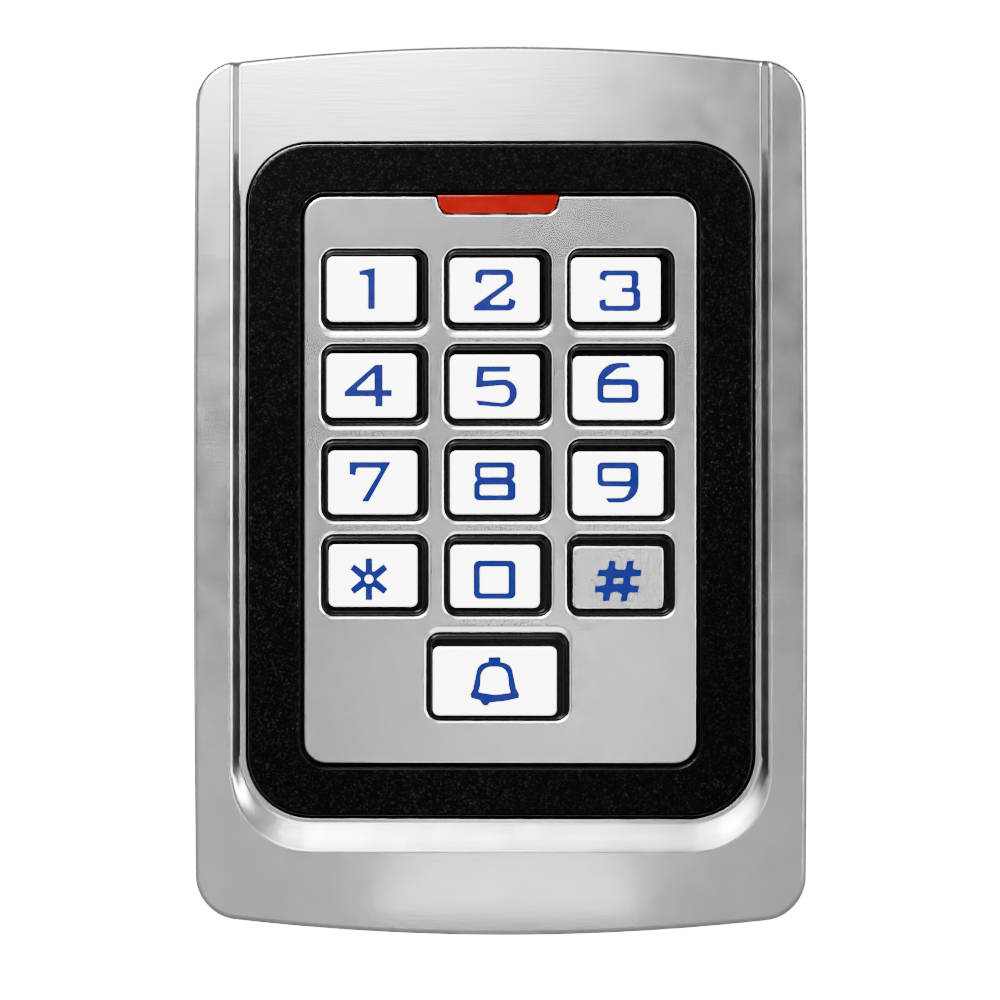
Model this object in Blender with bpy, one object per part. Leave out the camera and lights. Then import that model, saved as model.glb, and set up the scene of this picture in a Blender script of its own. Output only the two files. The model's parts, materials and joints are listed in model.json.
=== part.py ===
"""Keypad access reader for a wall: metal case, black bezel, keypad with thirteen keys.

Every piece is drawn lying on its back, with x to the right, y up the wall and z out of the wall.
add_part() stands it up, so that +Z is up, the wall is the plane y = 0 and the keys face -Y.
The origin lies on the wall, behind the middle of the case.
"""
import math

import bmesh
import bpy
from mathutils import Matrix, Vector

MM = 0.001
STAND_UP = Matrix.Rotation(math.radians(90), 4, "X")

# ---------------------------------------------------------------- clearances
GAP = 0.3 * MM                  # between two pieces that rest on each other
INLAY_GAP = 0.05 * MM           # round a legend in its pocket
LENS_GAP = 0.15 * MM            # round the lens in its notch
BEZEL_GAP = 0.45 * MM           # round the bezel in the case
PLATE_GAP = 0.5 * MM            # round the keypad plate in the bezel
COLLAR_GAP = 0.2 * MM           # round a rubber collar in its window
PRESS_CLEARANCE = 0.2 * MM      # left under a key that is fully pressed
EMBED = 0.6 * MM                # how far a boss or tab runs into the piece that it belongs to
BEYOND = 1.0 * MM               # how far a cutter runs past the face that it cuts

# ---------------------------------------------------------------- front case
CASE_WIDTH = 83.0 * MM
CASE_HEIGHT = 120.0 * MM
CASE_DEPTH = 22.0 * MM          # from the wall to the crown of the front
CASE_CORNER_R = 5.2 * MM
CASE_END_BULGE = 2.6 * MM       # rise of the curved top and bottom edges
CASE_SIDE_BULGE = 0.3 * MM
CASE_EDGE_R = 0.9 * MM          # rounding round the front
CASE_RIM = 0.5 * MM             # the rear rim stays this far off the wall
CROWN_ACROSS = 1.2 * MM         # fall of the front from the middle to the sides
CROWN_ALONG = 0.8 * MM          # fall of the front from the middle to the ends
REAR_WALL = 1.8 * MM            # wall round the rear cover
LEDGE_WIDTH = 2.5 * MM          # ledge that the gasket presses on
FRONT_WALL = 4.5 * MM

# lowered centre panel, open at the top, between the wings
STEP_DEPTH = 1.2 * MM
STEP_SLOPE = 1.1 * MM           # width of the step beside the keypad
CHIN_SLOPE = 3.7 * MM           # width of the slope under the keypad
STEP_MARGIN = 0.6 * MM          # flat band beside the bezel
CHIN_MARGIN = 0.4 * MM          # flat band under the bezel
STEP_CORNER_R = 9.4 * MM

# ---------------------------------------------------------------- bezel and keypad plate
BEZEL_WIDTH = 68.3 * MM
BEZEL_HEIGHT = 90.9 * MM
BEZEL_CORNER_R = 8.6 * MM
BEZEL_RECESS = 0.5 * MM         # its face lies this far behind the crown of the case
BEZEL_FLANGE = 1.6 * MM         # flange behind the front wall
BEZEL_FLANGE_THICK = 1.2 * MM
BEZEL_LEDGE = 1.25 * MM         # ledge under the edge of the plate
BEZEL_CHAMFER = 0.3 * MM
KEYPAD_Y = 1.4 * MM             # middle of bezel and plate above the middle of the case

PLATE_WIDTH = 52.9 * MM
PLATE_HEIGHT = 76.4 * MM
PLATE_CORNER_R = 3.0 * MM
PLATE_THICK = 1.5 * MM
PLATE_RECESS = 1.0 * MM
POST_DIAMETER = 3.6 * MM        # posts that the keypad board is screwed to
TOP_POSTS = (22.0 * MM, 33.9 * MM)        # x each side and y, from the middle of the plate
LOW_POSTS = (20.0 * MM, -25.9 * MM)

LENS_WIDTH = 16.4 * MM
LENS_HEIGHT = 2.5 * MM
LENS_TAPER = 0.6 * MM           # the lens is this much narrower at each lower corner
LENS_CORNER_R = 1.5 * MM

# ---------------------------------------------------------------- keys
WINDOW_WIDTH = 14.3 * MM
WINDOW_HEIGHT = 10.9 * MM
WINDOW_CORNER_R = 1.7 * MM
WINDOW_BEVEL = 0.5 * MM
BELL_WINDOW_WIDTH = 19.1 * MM
BELL_WINDOW_HEIGHT = 11.7 * MM
COLUMN_PITCH = 16.6 * MM
ROW_PITCH = 12.85 * MM
BELL_PITCH = 13.65 * MM         # from the last row of digits to the bell key
KEYS_X = -0.3 * MM              # the keys and the lens sit slightly left of the plate's middle
TOP_ROW_Y = 25.7 * MM           # above the middle of the plate

CAP_MARGIN_X = 1.2 * MM         # between a cap and the side of its window
CAP_MARGIN_Y = 1.15 * MM
CAP_CORNER_R = 0.8 * MM
CAP_THICK = 1.8 * MM
CAP_PROUD = 0.7 * MM            # above the plate
CAP_CHAMFER = 0.2 * MM
CAP_SHIFT = (-0.25 * MM, -0.12 * MM)      # the mat holds its caps a little left and low
STEM_DIAMETER = 3.0 * MM
STEM_HOLE = 4.2 * MM
KEY_TRAVEL = 0.8 * MM
COLLAR_WIDTH = 0.6 * MM
COLLAR_RECESS = 0.1 * MM        # collar below the face of the plate
MAT_THICK = 1.2 * MM
MAT_MARGIN = 0.4 * MM           # round mat and keypad board inside the bezel's ledge
LED_NOTCH_WIDTH = 15.0 * MM
LED_NOTCH_DEPTH = 2.2 * MM
POCKET_DEPTH = 0.3 * MM
INLAY_THICK = 0.2 * MM

# ---------------------------------------------------------------- boards
BOARD_THICK = 1.6 * MM
BOARD_SPACE = 1.6 * MM          # between keypad board and main board
MAIN_BOARD_WIDTH = 58.0 * MM
BOARD_EDGE = 2.3 * MM           # from a board screw to the end of the main board
BOSS_DIAMETER = 4.4 * MM
COIL_WIDTH = 2.6 * MM
COIL_THICK = 1.0 * MM
COIL_INSET = 1.2 * MM           # outer edge of the coil inside the bezel's outline
LED_SIZE = (2.0 * MM, 1.6 * MM, 0.8 * MM)
LED_CORNER_R = 0.2 * MM
LED_PITCH = 5.0 * MM
LED_COUNT = 3

# ---------------------------------------------------------------- components on the back of the main board
PACKAGE_CORNER_R = 0.4 * MM
PACKAGES = [                    # name, width and height, middle, thickness, material
    ("relay", (18 * MM, 14 * MM), (14 * MM, 18 * MM), 7.2 * MM, "component_black"),
    ("wire_header", (30 * MM, 7 * MM), (0.0, -34 * MM), 6.8 * MM, "header_green"),
    ("controller_chip", (12 * MM, 12 * MM), (-13 * MM, 0.0), 1.6 * MM, "component_black"),
    ("reader_chip", (8 * MM, 6 * MM), (16 * MM, -4 * MM), 1.6 * MM, "component_black"),
]
BUZZER_AT = (-16 * MM, 24 * MM)
BUZZER_DIAMETER = 13 * MM
BUZZER_HEIGHT = 6 * MM
BUZZER_PORT = (3 * MM, 1 * MM)  # diameter and depth of its sound port
SENSOR_DIAMETER = 5 * MM
SENSOR_HEIGHT = 3 * MM

# ---------------------------------------------------------------- rear cover and bracket
COVER_BACK = 2.0 * MM
COVER_THICK = 2.0 * MM
GASKET_THICK = 0.7 * MM
COVER_POST_DIAMETER = 6.0 * MM
COVER_POST_INSET = (8.3 * MM, 10.0 * MM)  # from the side and the end of the case
GROMMET_Y = -16.0 * MM
GROMMET_BORE = 8.0 * MM
GROMMET_WAIST = 11.4 * MM
GROMMET_FLANGE = 15.0 * MM
GROMMET_LIP = 0.8 * MM
TAMPER_AT = (20.0 * MM, -22.0 * MM)
TAMPER_DIAMETER = 5.4 * MM

BRACKET_WIDTH = 50.0 * MM
BRACKET_TOP = 44.0 * MM
BRACKET_THICK = 1.2 * MM
BRACKET_CORNER_R = 3.0 * MM
BRACKET_CABLE_HOLE = 20.0 * MM
WALL_SLOT = (4.0 * MM, 9.0 * MM)
WALL_SLOTS_AT = [(-15.0 * MM, 26.0 * MM), (15.0 * MM, 26.0 * MM),
                 (-15.0 * MM, -38.0 * MM), (15.0 * MM, -38.0 * MM)]
HOOK_X = 14.0 * MM
HOOK_WIDTH = 8.0 * MM
HOOK_Y = 37.0 * MM
HOOK_LIP = 3.0 * MM
HOOK_DROP = 4.2 * MM            # how far the reader is lifted to come off its hooks
FLANGE_WIDTH = 16.0 * MM
FLANGE_HEIGHT = 11.2 * MM       # how far the flange stands out of the wall
FLANGE_INSET = 6.0 * MM         # from the bottom of the case

# ---------------------------------------------------------------- screws: shaft, head, head height, length
COVER_SCREW = (2.6 * MM, 5.4 * MM, 1.3 * MM, 8.4 * MM)
BOARD_SCREW = (1.6 * MM, 3.4 * MM, 0.8 * MM, 4.2 * MM)
KEYPAD_SCREW = (1.6 * MM, 3.4 * MM, 0.8 * MM, 3.2 * MM)
SECURITY_SCREW = (2.5 * MM, 5.5 * MM, 1.7 * MM, 6.5 * MM)
SECURITY_SCREW_Z = 8.6 * MM
SECURITY_RECESS = 0.2 * MM      # its head lies this deep in the case
RECESS_SHARE = 0.42             # driver recess: its width as a share of the head
RECESS_WAVE = 0.22              # how far its star swings in and out, as a share of its radius
PLAIN_LOBES = 4
SECURITY_LOBES = 6
SCREW_SIDES = 12
ROUND_SIDES = 20                # grommet, buzzer and cable holes

# ---------------------------------------------------------------- levels out of the wall
PLATE_FRONT = CASE_DEPTH - PLATE_RECESS
PLATE_BACK = PLATE_FRONT - PLATE_THICK
BEZEL_FRONT = CASE_DEPTH - BEZEL_RECESS
INNER_FACE = CASE_DEPTH - FRONT_WALL
CAP_FRONT = PLATE_FRONT + CAP_PROUD
CAP_BACK = CAP_FRONT - CAP_THICK
MAT_FRONT = CAP_BACK - KEY_TRAVEL - PRESS_CLEARANCE
MAT_BACK = MAT_FRONT - MAT_THICK
KEYPAD_BOARD_FRONT = MAT_BACK - GAP
KEYPAD_BOARD_BACK = KEYPAD_BOARD_FRONT - BOARD_THICK
MAIN_BOARD_FRONT = KEYPAD_BOARD_BACK - BOARD_SPACE
MAIN_BOARD_BACK = MAIN_BOARD_FRONT - BOARD_THICK
COVER_FRONT = COVER_BACK + COVER_THICK
LEDGE_Z = COVER_FRONT + GASKET_THICK + 2 * GAP

# ---------------------------------------------------------------- places and sizes that follow
SIDE_WALL = REAR_WALL + LEDGE_WIDTH
LEDGE_OPENING = (PLATE_WIDTH + 2 * (PLATE_GAP - BEZEL_LEDGE), PLATE_HEIGHT + 2 * (PLATE_GAP - BEZEL_LEDGE))
MAT_SIZE = (LEDGE_OPENING[0] - 2 * MAT_MARGIN, LEDGE_OPENING[1] - 2 * MAT_MARGIN)
BEZEL_REACH = BEZEL_HEIGHT / 2 + BEZEL_FLANGE + GAP
BOSS_TOP_Y = KEYPAD_Y + BEZEL_REACH + BOSS_DIAMETER / 2
BOSS_LOW_Y = KEYPAD_Y - BEZEL_REACH - BOSS_DIAMETER / 2
FLANGE_Y = -CASE_HEIGHT / 2 + FLANGE_INSET
COVER_POST_X = CASE_WIDTH / 2 - COVER_POST_INSET[0]
COVER_POST_Y = CASE_HEIGHT / 2 - COVER_POST_INSET[1]
COVER_POSTS = [(side * COVER_POST_X, end * COVER_POST_Y) for side in (-1, 1) for end in (-1, 1)]
PLATE_POSTS = [(side * x, KEYPAD_Y + y) for x, y in (TOP_POSTS, LOW_POSTS) for side in (-1, 1)]
BOARD_BOSSES = [(0.0, BOSS_TOP_Y), (0.0, BOSS_LOW_Y)]
LENS_TOP_Y = KEYPAD_Y + PLATE_HEIGHT / 2 + PLATE_GAP - GAP

ARC_STEP = math.radians(30)
KEY_ARC_STEP = math.radians(45)  # windows, caps and legends
CORNER_STEPS = 3                # segments in each corner of a loop that is lofted
EDGE_STEPS = 7                  # segments along each side of such a loop
FRONT_SHARES = (0.3, 0.65, 1.0)  # loops of the crowned front, from its rounded edge to the aperture
STEP_CELLS = (18, 6)            # cells of the cutter for the lowered panel, across and along
SHARPEST_OFFSET = 0.3           # limits how far a sharp corner runs out when an outline is offset
SMOOTH_ANGLE = math.radians(35)

MATERIALS = {                   # colour, roughness, metallic
    "satin_zinc": ((0.56, 0.56, 0.54), 0.34, 0.9),
    "plate_satin": ((0.60, 0.59, 0.58), 0.38, 0.9),
    "bright_key_metal": ((0.86, 0.86, 0.85), 0.18, 0.9),
    "legend_blue": ((0.004, 0.02, 0.36), 0.2, 0.0),
    "bezel_black": ((0.012, 0.012, 0.016), 0.42, 0.0),
    "lens_red": ((0.9, 0.0, 0.004), 0.2, 0.0),
    "rubber_black": ((0.01, 0.01, 0.011), 0.45, 0.0),
    "cover_black": ((0.02, 0.02, 0.021), 0.55, 0.0),
    "bracket_steel": ((0.52, 0.53, 0.54), 0.4, 0.95),
    "screw_steel": ((0.62, 0.62, 0.62), 0.28, 1.0),
    "board_green": ((0.01, 0.13, 0.05), 0.45, 0.0),
    "component_black": ((0.018, 0.018, 0.02), 0.5, 0.0),
    "coil_copper": ((0.70, 0.28, 0.10), 0.35, 0.9),
    "header_green": ((0.03, 0.33, 0.12), 0.45, 0.0),
    "led_white": ((0.85, 0.84, 0.78), 0.35, 0.0),
    "clear_plastic": ((0.75, 0.78, 0.78), 0.1, 0.0),
}


# ---------------------------------------------------------------- outlines
def rounded(corners, arc_step=ARC_STEP):
    """Closed outline through corners (x, y) or (x, y, radius); a radius is drawn as an arc."""
    points = []
    for index, corner in enumerate(corners):
        here = Vector(corner[:2])
        if len(corner) == 2:
            points.append(here)
            continue
        back = (Vector(corners[index - 1][:2]) - here).normalized()
        ahead = (Vector(corners[(index + 1) % len(corners)][:2]) - here).normalized()
        half = back.angle(ahead) / 2
        centre = here + (back + ahead).normalized() * corner[2] / math.sin(half)
        start = here + back * corner[2] / math.tan(half) - centre
        turn = math.copysign(math.pi - 2 * half, ahead.cross(back))
        steps = max(1, math.ceil(abs(turn) / arc_step - 0.01))
        for step in range(steps + 1):
            points.append(centre + Matrix.Rotation(turn * step / steps, 2) @ start)
    return points


def box_outline(width, height, radius, at=(0.0, 0.0), arc_step=ARC_STEP):
    """Rectangle with rounded corners round a point, counterclockwise from the lower right."""
    x, y = width / 2, height / 2
    signs = [(1, -1), (1, 1), (-1, 1), (-1, -1)]
    return rounded([(at[0] + sx * x, at[1] + sy * y, radius) for sx, sy in signs], arc_step)


def circle(diameter, at=(0.0, 0.0), sides=SCREW_SIDES, lobes=0, wave=0.0):
    """Round outline; lobes and wave turn it into the star of a screw's drive."""
    points = []
    for index in range(sides):
        angle = 2 * math.pi * (index + 0.5) / sides - math.pi / 2
        radius = diameter / 2 * (1 + wave * math.cos(lobes * angle))
        points.append(Vector((at[0] + radius * math.cos(angle), at[1] + radius * math.sin(angle))))
    return points


def notched_outline(width, height, radius, at, notch, fillet):
    """Rounded rectangle whose top edge dips along the notch, a list of points from right to left."""
    x, y = width / 2, height / 2
    top = at[1] + y
    right, left = notch[0], notch[-1]
    corners = [(at[0] + x, at[1] - y, radius), (at[0] + x, top, radius), (right[0], top, fillet)]
    corners += list(notch[1:-1]) + [(left[0], top, fillet)]
    corners += [(at[0] - x, top, radius), (at[0] - x, at[1] - y, radius)]
    return rounded(corners)


def offset(outline, distance):
    """The outline moved outwards by a small distance (inwards where it is negative)."""
    twice_area = sum(a.cross(b) for a, b in zip(outline, outline[1:] + outline[:1]))
    outward = distance if twice_area > 0 else -distance
    moved = []
    for index, here in enumerate(outline):
        before = (here - outline[index - 1]).normalized()
        after = (outline[(index + 1) % len(outline)] - here).normalized()
        normal = Vector((before.y + after.y, -before.x - after.x)).normalized()
        stretch = max(normal.dot(Vector((before.y, -before.x))), SHARPEST_OFFSET)
        moved.append(here + normal * outward / stretch)
    return moved


def even_loop(width, height, radius, at=(0.0, 0.0)):
    """Rounded rectangle whose corners and sides always have the same number of points."""
    x, y = width / 2 - radius, height / 2 - radius
    centres = [(x, -y), (x, y), (-x, y), (-x, -y)]
    points = []
    for quarter, (cx, cy) in enumerate(centres):
        for step in range(CORNER_STEPS + 1):
            angle = math.radians(90 * (quarter - 1 + step / CORNER_STEPS))
            points.append(Vector((cx + radius * math.cos(angle), cy + radius * math.sin(angle))))
        end = points[-1]
        next_centre = Vector(centres[(quarter + 1) % 4])
        start = next_centre + Vector((math.cos(angle), math.sin(angle))) * radius
        points += [end.lerp(start, step / EDGE_STEPS) for step in range(1, EDGE_STEPS)]
    return [point + Vector(at) for point in points]


def case_loop(inset):
    """Outline of the case, this far inside its surface: a rounded rectangle with bulging sides."""
    width = CASE_WIDTH - 2 * (CASE_SIDE_BULGE + inset)
    height = CASE_HEIGHT - 2 * (CASE_END_BULGE + inset)
    points = []
    for point in even_loop(width, height, max(CASE_CORNER_R - inset, CASE_EDGE_R)):
        across, along = point.x * 2 / width, point.y * 2 / height
        bulge = (CASE_SIDE_BULGE * across * (1 - along ** 2), CASE_END_BULGE * along * (1 - across ** 2))
        points.append(point + Vector(bulge))
    return points


def crown(point):
    """Height of the crowned front over a point."""
    fall_across = CROWN_ACROSS * (point[0] * 2 / CASE_WIDTH) ** 2
    fall_along = CROWN_ALONG * (point[1] * 2 / CASE_HEIGHT) ** 2
    return CASE_DEPTH - fall_across - fall_along


# ---------------------------------------------------------------- solids
def wall(bm, lower, upper):
    """Band of faces between two rings of vertices."""
    for index in range(len(lower)):
        bm.faces.new((lower[index - 1], lower[index], upper[index], upper[index - 1]))


def cap(bm, rings):
    """Flat end: one face in a single ring, or triangles round the holes of several."""
    if len(rings) == 1:
        bm.faces.new(rings[0])
        return
    edges = []
    for ring in rings:
        for a, b in zip(ring, ring[1:] + ring[:1]):
            edges.append(bm.edges.get((a, b)) or bm.edges.new((a, b)))
    bmesh.ops.triangle_fill(bm, use_beauty=True, use_dissolve=False, edges=edges, normal=(0, 0, 1))


def solid(levels):
    """Closed solid through levels (z, outlines), capped at both ends; holes are further outlines."""
    bm = bmesh.new()
    last_z, last_outlines, last_rings = None, [], []
    for z, outlines in levels:
        rings = []
        for index, outline in enumerate(outlines):
            if z == last_z and outline is last_outlines[index]:
                rings.append(last_rings[index])
                continue
            rings.append([bm.verts.new((x, y, z)) for x, y in outline])
            if last_rings:
                wall(bm, last_rings[index], rings[-1])
        if not last_rings:
            cap(bm, rings)
        last_z, last_outlines, last_rings = z, outlines, rings
    cap(bm, last_rings)
    bmesh.ops.recalc_face_normals(bm, faces=bm.faces)
    return bm


def ring_solid(loops):
    """Closed ring through loops of 3-D points, the last joined to the first."""
    bm = bmesh.new()
    rings = [[bm.verts.new(point) for point in loop] for loop in loops]
    for index, ring in enumerate(rings):
        wall(bm, rings[index - 1], ring)
    bmesh.ops.recalc_face_normals(bm, faces=bm.faces)
    return bm


def block(low, high, columns, rows):
    """Closed block between two surfaces, each a function of u and v from 0 to 1."""
    bm = bmesh.new()
    grids = []
    for surface in (low, high):
        grid = [[bm.verts.new(surface(i / columns, j / rows)) for j in range(rows + 1)]
                for i in range(columns + 1)]
        for i in range(columns):
            for j in range(rows):
                bm.faces.new((grid[i][j], grid[i + 1][j], grid[i + 1][j + 1], grid[i][j + 1]))
        grids.append(grid[:1][0][:-1] + [column[-1] for column in grid[:-1]]
                     + grid[-1][:0:-1] + [column[0] for column in grid[:0:-1]])
    wall(bm, grids[0], grids[1])
    bmesh.ops.recalc_face_normals(bm, faces=bm.faces)
    return bm


def prism(outline, low, high):
    return solid([(low, [outline]), (high, [outline])])


def bent_strip(profile, x, width):
    """Sheet profile of (y, z) corners, extruded across its width."""
    bm = solid([(x - width / 2, [[Vector(point) for point in profile]]),
                (x + width / 2, [[Vector(point) for point in profile]])])
    turn = Matrix(((0, 0, 1, 0), (1, 0, 0, 0), (0, 1, 0, 0), (0, 0, 0, 1)))
    bm.transform(turn)
    return bm


def merged(parts):
    """Several separate solids in one mesh, for use as a cutter or an addition."""
    whole = bmesh.new()
    for part in parts:
        mesh = bpy.data.meshes.new("merged")
        part.to_mesh(mesh)
        part.free()
        whole.from_mesh(mesh)
        bpy.data.meshes.remove(mesh)
    return whole


# ---------------------------------------------------------------- objects
def make_material(name):
    colour, roughness, metallic = MATERIALS[name]
    material = bpy.data.materials.new(name)
    material.use_nodes = True
    material.diffuse_color = (*colour, 1.0)
    shader = material.node_tree.nodes["Principled BSDF"]
    shader.inputs["Base Color"].default_value = (*colour, 1.0)
    shader.inputs["Roughness"].default_value = roughness
    shader.inputs["Metallic"].default_value = metallic
    return material


def make_object(name, bm, origin):
    """Object from a mesh drawn lying down; origin is its own origin, in the same lying frame."""
    mesh = bpy.data.meshes.new(name)
    bm.transform(STAND_UP @ Matrix.Translation(-Vector(origin)))
    bm.to_mesh(mesh)
    bm.free()
    obj = bpy.data.objects.new(name, mesh)
    obj.location = STAND_UP @ Vector(origin)
    bpy.context.scene.collection.objects.link(obj)
    return obj


def add_part(name, bm, material, origin=(0.0, 0.0, 0.0), round_shape=False):
    obj = make_object(name, bm, origin)
    obj.parent = ASSEMBLY
    obj.data.materials.append(bpy.data.materials.get(material) or make_material(material))
    if round_shape:
        obj.data.shade_smooth()
        obj.data.set_sharp_from_angle(angle=SMOOTH_ANGLE)
    return obj


def combine(obj, bm, operation, label):
    """Cut a solid from an object, or add it, with a Boolean modifier and a hidden helper."""
    helper = make_object(f"{label}_{obj.name}", bm, (0.0, 0.0, 0.0))
    helper.hide_render = True
    helper.display_type = "WIRE"
    helper.parent = ASSEMBLY
    modifier = obj.modifiers.new(label, "BOOLEAN")
    modifier.operation = operation
    modifier.solver = "EXACT"
    modifier.object = helper


def cut(obj, bm, label="cut"):
    combine(obj, bm, "DIFFERENCE", label)


def add(obj, bm, label="add"):
    combine(obj, bm, "UNION", label)


# ---------------------------------------------------------------- case
def step_surface(reach, height):
    """Floor of the lowered panel, grown by reach times the width of the step, as a surface."""
    half_width = BEZEL_WIDTH / 2 + BEZEL_GAP + STEP_MARGIN + reach * STEP_SLOPE
    low_y = KEYPAD_Y - BEZEL_HEIGHT / 2 - BEZEL_GAP - CHIN_MARGIN - reach * CHIN_SLOPE
    radius = STEP_CORNER_R + reach * STEP_SLOPE

    def surface(u, v):
        x = -half_width * math.cos(math.pi * u)
        into_corner = max(abs(x) - (half_width - radius), 0.0)
        start = low_y + radius - math.sqrt(max(radius ** 2 - into_corner ** 2, 0.0))
        y = start + (CASE_HEIGHT - start) * v
        return (x, y, crown((x, y)) - STEP_DEPTH + height)

    return surface


def make_front_case():
    outer = case_loop(0.0)
    aperture = even_loop(BEZEL_WIDTH + 2 * BEZEL_GAP, BEZEL_HEIGHT + 2 * BEZEL_GAP,
                         BEZEL_CORNER_R + BEZEL_GAP, (0.0, KEYPAD_Y))
    loops = [[(*point, CASE_RIM) for point in outer]]
    for step in range(CORNER_STEPS + 1):
        angle = math.radians(90 * step / CORNER_STEPS)
        inset = CASE_EDGE_R * (1 - math.cos(angle))
        sink = CASE_EDGE_R * (1 - math.sin(angle))
        loops.append([(*point, crown(point) - sink) for point in case_loop(inset)])
    edge = case_loop(CASE_EDGE_R)
    for share in FRONT_SHARES:
        ring = [a.lerp(b, share) for a, b in zip(edge, aperture)]
        loops.append([(*point, crown(point)) for point in ring])
    loops.append([(*point, INNER_FACE) for point in aperture])
    loops.append([(*point, INNER_FACE) for point in case_loop(SIDE_WALL)])
    loops.append([(*point, LEDGE_Z) for point in case_loop(SIDE_WALL)])
    loops.append([(*point, LEDGE_Z) for point in case_loop(REAR_WALL)])
    loops.append([(*point, CASE_RIM) for point in case_loop(REAR_WALL)])
    case = add_part("front_case", ring_solid(loops), "satin_zinc", round_shape=True)

    cut(case, block(step_surface(0, 0.0), step_surface(2, 2 * STEP_DEPTH), *STEP_CELLS), "step")
    posts = [prism(circle(COVER_POST_DIAMETER, at), COVER_FRONT + GAP, INNER_FACE + EMBED)
             for at in COVER_POSTS]
    posts += [prism(circle(BOSS_DIAMETER, at), MAIN_BOARD_FRONT + GAP, INNER_FACE + EMBED)
              for at in BOARD_BOSSES]
    add(case, merged(posts), "posts")
    holes = []
    for at in COVER_POSTS:
        end = COVER_BACK - GAP + COVER_SCREW[3] + GAP
        holes.append(prism(circle(COVER_SCREW[0] + 2 * GAP, at), COVER_FRONT, end))
    for at in BOARD_BOSSES:
        end = MAIN_BOARD_BACK - GAP + BOARD_SCREW[3] + GAP
        holes.append(prism(circle(BOARD_SCREW[0] + 2 * GAP, at), MAIN_BOARD_FRONT, end))
    holes.append(security_hole())
    cut(case, merged(holes), "screw_holes")


def security_hole():
    """Counterbored hole up through the bottom wall, for the security screw."""
    shaft, head, head_height, length = SECURITY_SCREW
    narrow, wide = circle(shaft + 2 * GAP), circle(head + 2 * GAP)
    shoulder = SECURITY_RECESS + head_height + GAP
    through = SECURITY_RECESS + head_height + length
    bm = solid([(-BEYOND, [wide]), (shoulder, [wide]), (shoulder, [narrow]), (through, [narrow])])
    bm.transform(upright_from_bottom())
    return bm


def upright_from_bottom():
    """Turns a shape along z into one that goes up the wall from the bottom of the case."""
    place = Matrix.Translation((0.0, -CASE_HEIGHT / 2, SECURITY_SCREW_Z))
    return place @ Matrix.Rotation(math.radians(-90), 4, "X")


# ---------------------------------------------------------------- bezel, plate, lens
def make_bezel():
    middle = (0.0, KEYPAD_Y)
    back = INNER_FACE - GAP - BEZEL_FLANGE_THICK
    flange = box_outline(BEZEL_WIDTH + 2 * BEZEL_FLANGE, BEZEL_HEIGHT + 2 * BEZEL_FLANGE,
                         BEZEL_CORNER_R + BEZEL_FLANGE, middle)
    outer = box_outline(BEZEL_WIDTH, BEZEL_HEIGHT, BEZEL_CORNER_R, middle)
    opening = box_outline(PLATE_WIDTH + 2 * PLATE_GAP, PLATE_HEIGHT + 2 * PLATE_GAP,
                          PLATE_CORNER_R + PLATE_GAP, middle)
    ledge = box_outline(*LEDGE_OPENING, PLATE_CORNER_R - BEZEL_LEDGE + PLATE_GAP, middle)
    ledge_z = PLATE_BACK - GAP
    shoulder_z = BEZEL_FRONT - BEZEL_CHAMFER
    levels = [(back, [flange, ledge]), (INNER_FACE - GAP, [flange, ledge]),
              (INNER_FACE - GAP, [outer, ledge]), (ledge_z, [outer, ledge]),
              (ledge_z, [outer, opening]), (shoulder_z, [outer, opening]),
              (BEZEL_FRONT, [offset(outer, -BEZEL_CHAMFER), offset(opening, BEZEL_CHAMFER)])]
    add_part("bezel_ring", solid(levels), "bezel_black", round_shape=True)


def lens_corners(grow):
    """Lens outline from the upper right round to the upper left, grown for its notch."""
    half = LENS_WIDTH / 2 + grow
    low = LENS_TOP_Y - LENS_HEIGHT - grow
    radius = LENS_CORNER_R + grow
    return [(KEYS_X + half, LENS_TOP_Y), (KEYS_X + half - LENS_TAPER, low, radius),
            (KEYS_X - half + LENS_TAPER, low, radius), (KEYS_X - half, LENS_TOP_Y)]


def make_lens():
    outline = rounded(lens_corners(0.0)[::-1])
    add_part("status_lens", prism(outline, PLATE_BACK, PLATE_FRONT), "lens_red")


def key_table():
    """Name, middle and window size of each key, from the top row down."""
    table = []
    rows = [("1", "2", "3"), ("4", "5", "6"), ("7", "8", "9"), ("star", "0", "hash")]
    for row, names in enumerate(rows):
        for column, name in enumerate(names):
            at = (KEYS_X + (column - 1) * COLUMN_PITCH, KEYPAD_Y + TOP_ROW_Y - row * ROW_PITCH)
            table.append((name, at, (WINDOW_WIDTH, WINDOW_HEIGHT)))
    bell_y = KEYPAD_Y + TOP_ROW_Y - (len(rows) - 1) * ROW_PITCH - BELL_PITCH
    table.append(("bell", (KEYS_X, bell_y), (BELL_WINDOW_WIDTH, BELL_WINDOW_HEIGHT)))
    return table


def window_outline(at, size, grow):
    width, height = size[0] + 2 * grow, size[1] + 2 * grow
    return box_outline(width, height, WINDOW_CORNER_R + grow, at, KEY_ARC_STEP)


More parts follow.
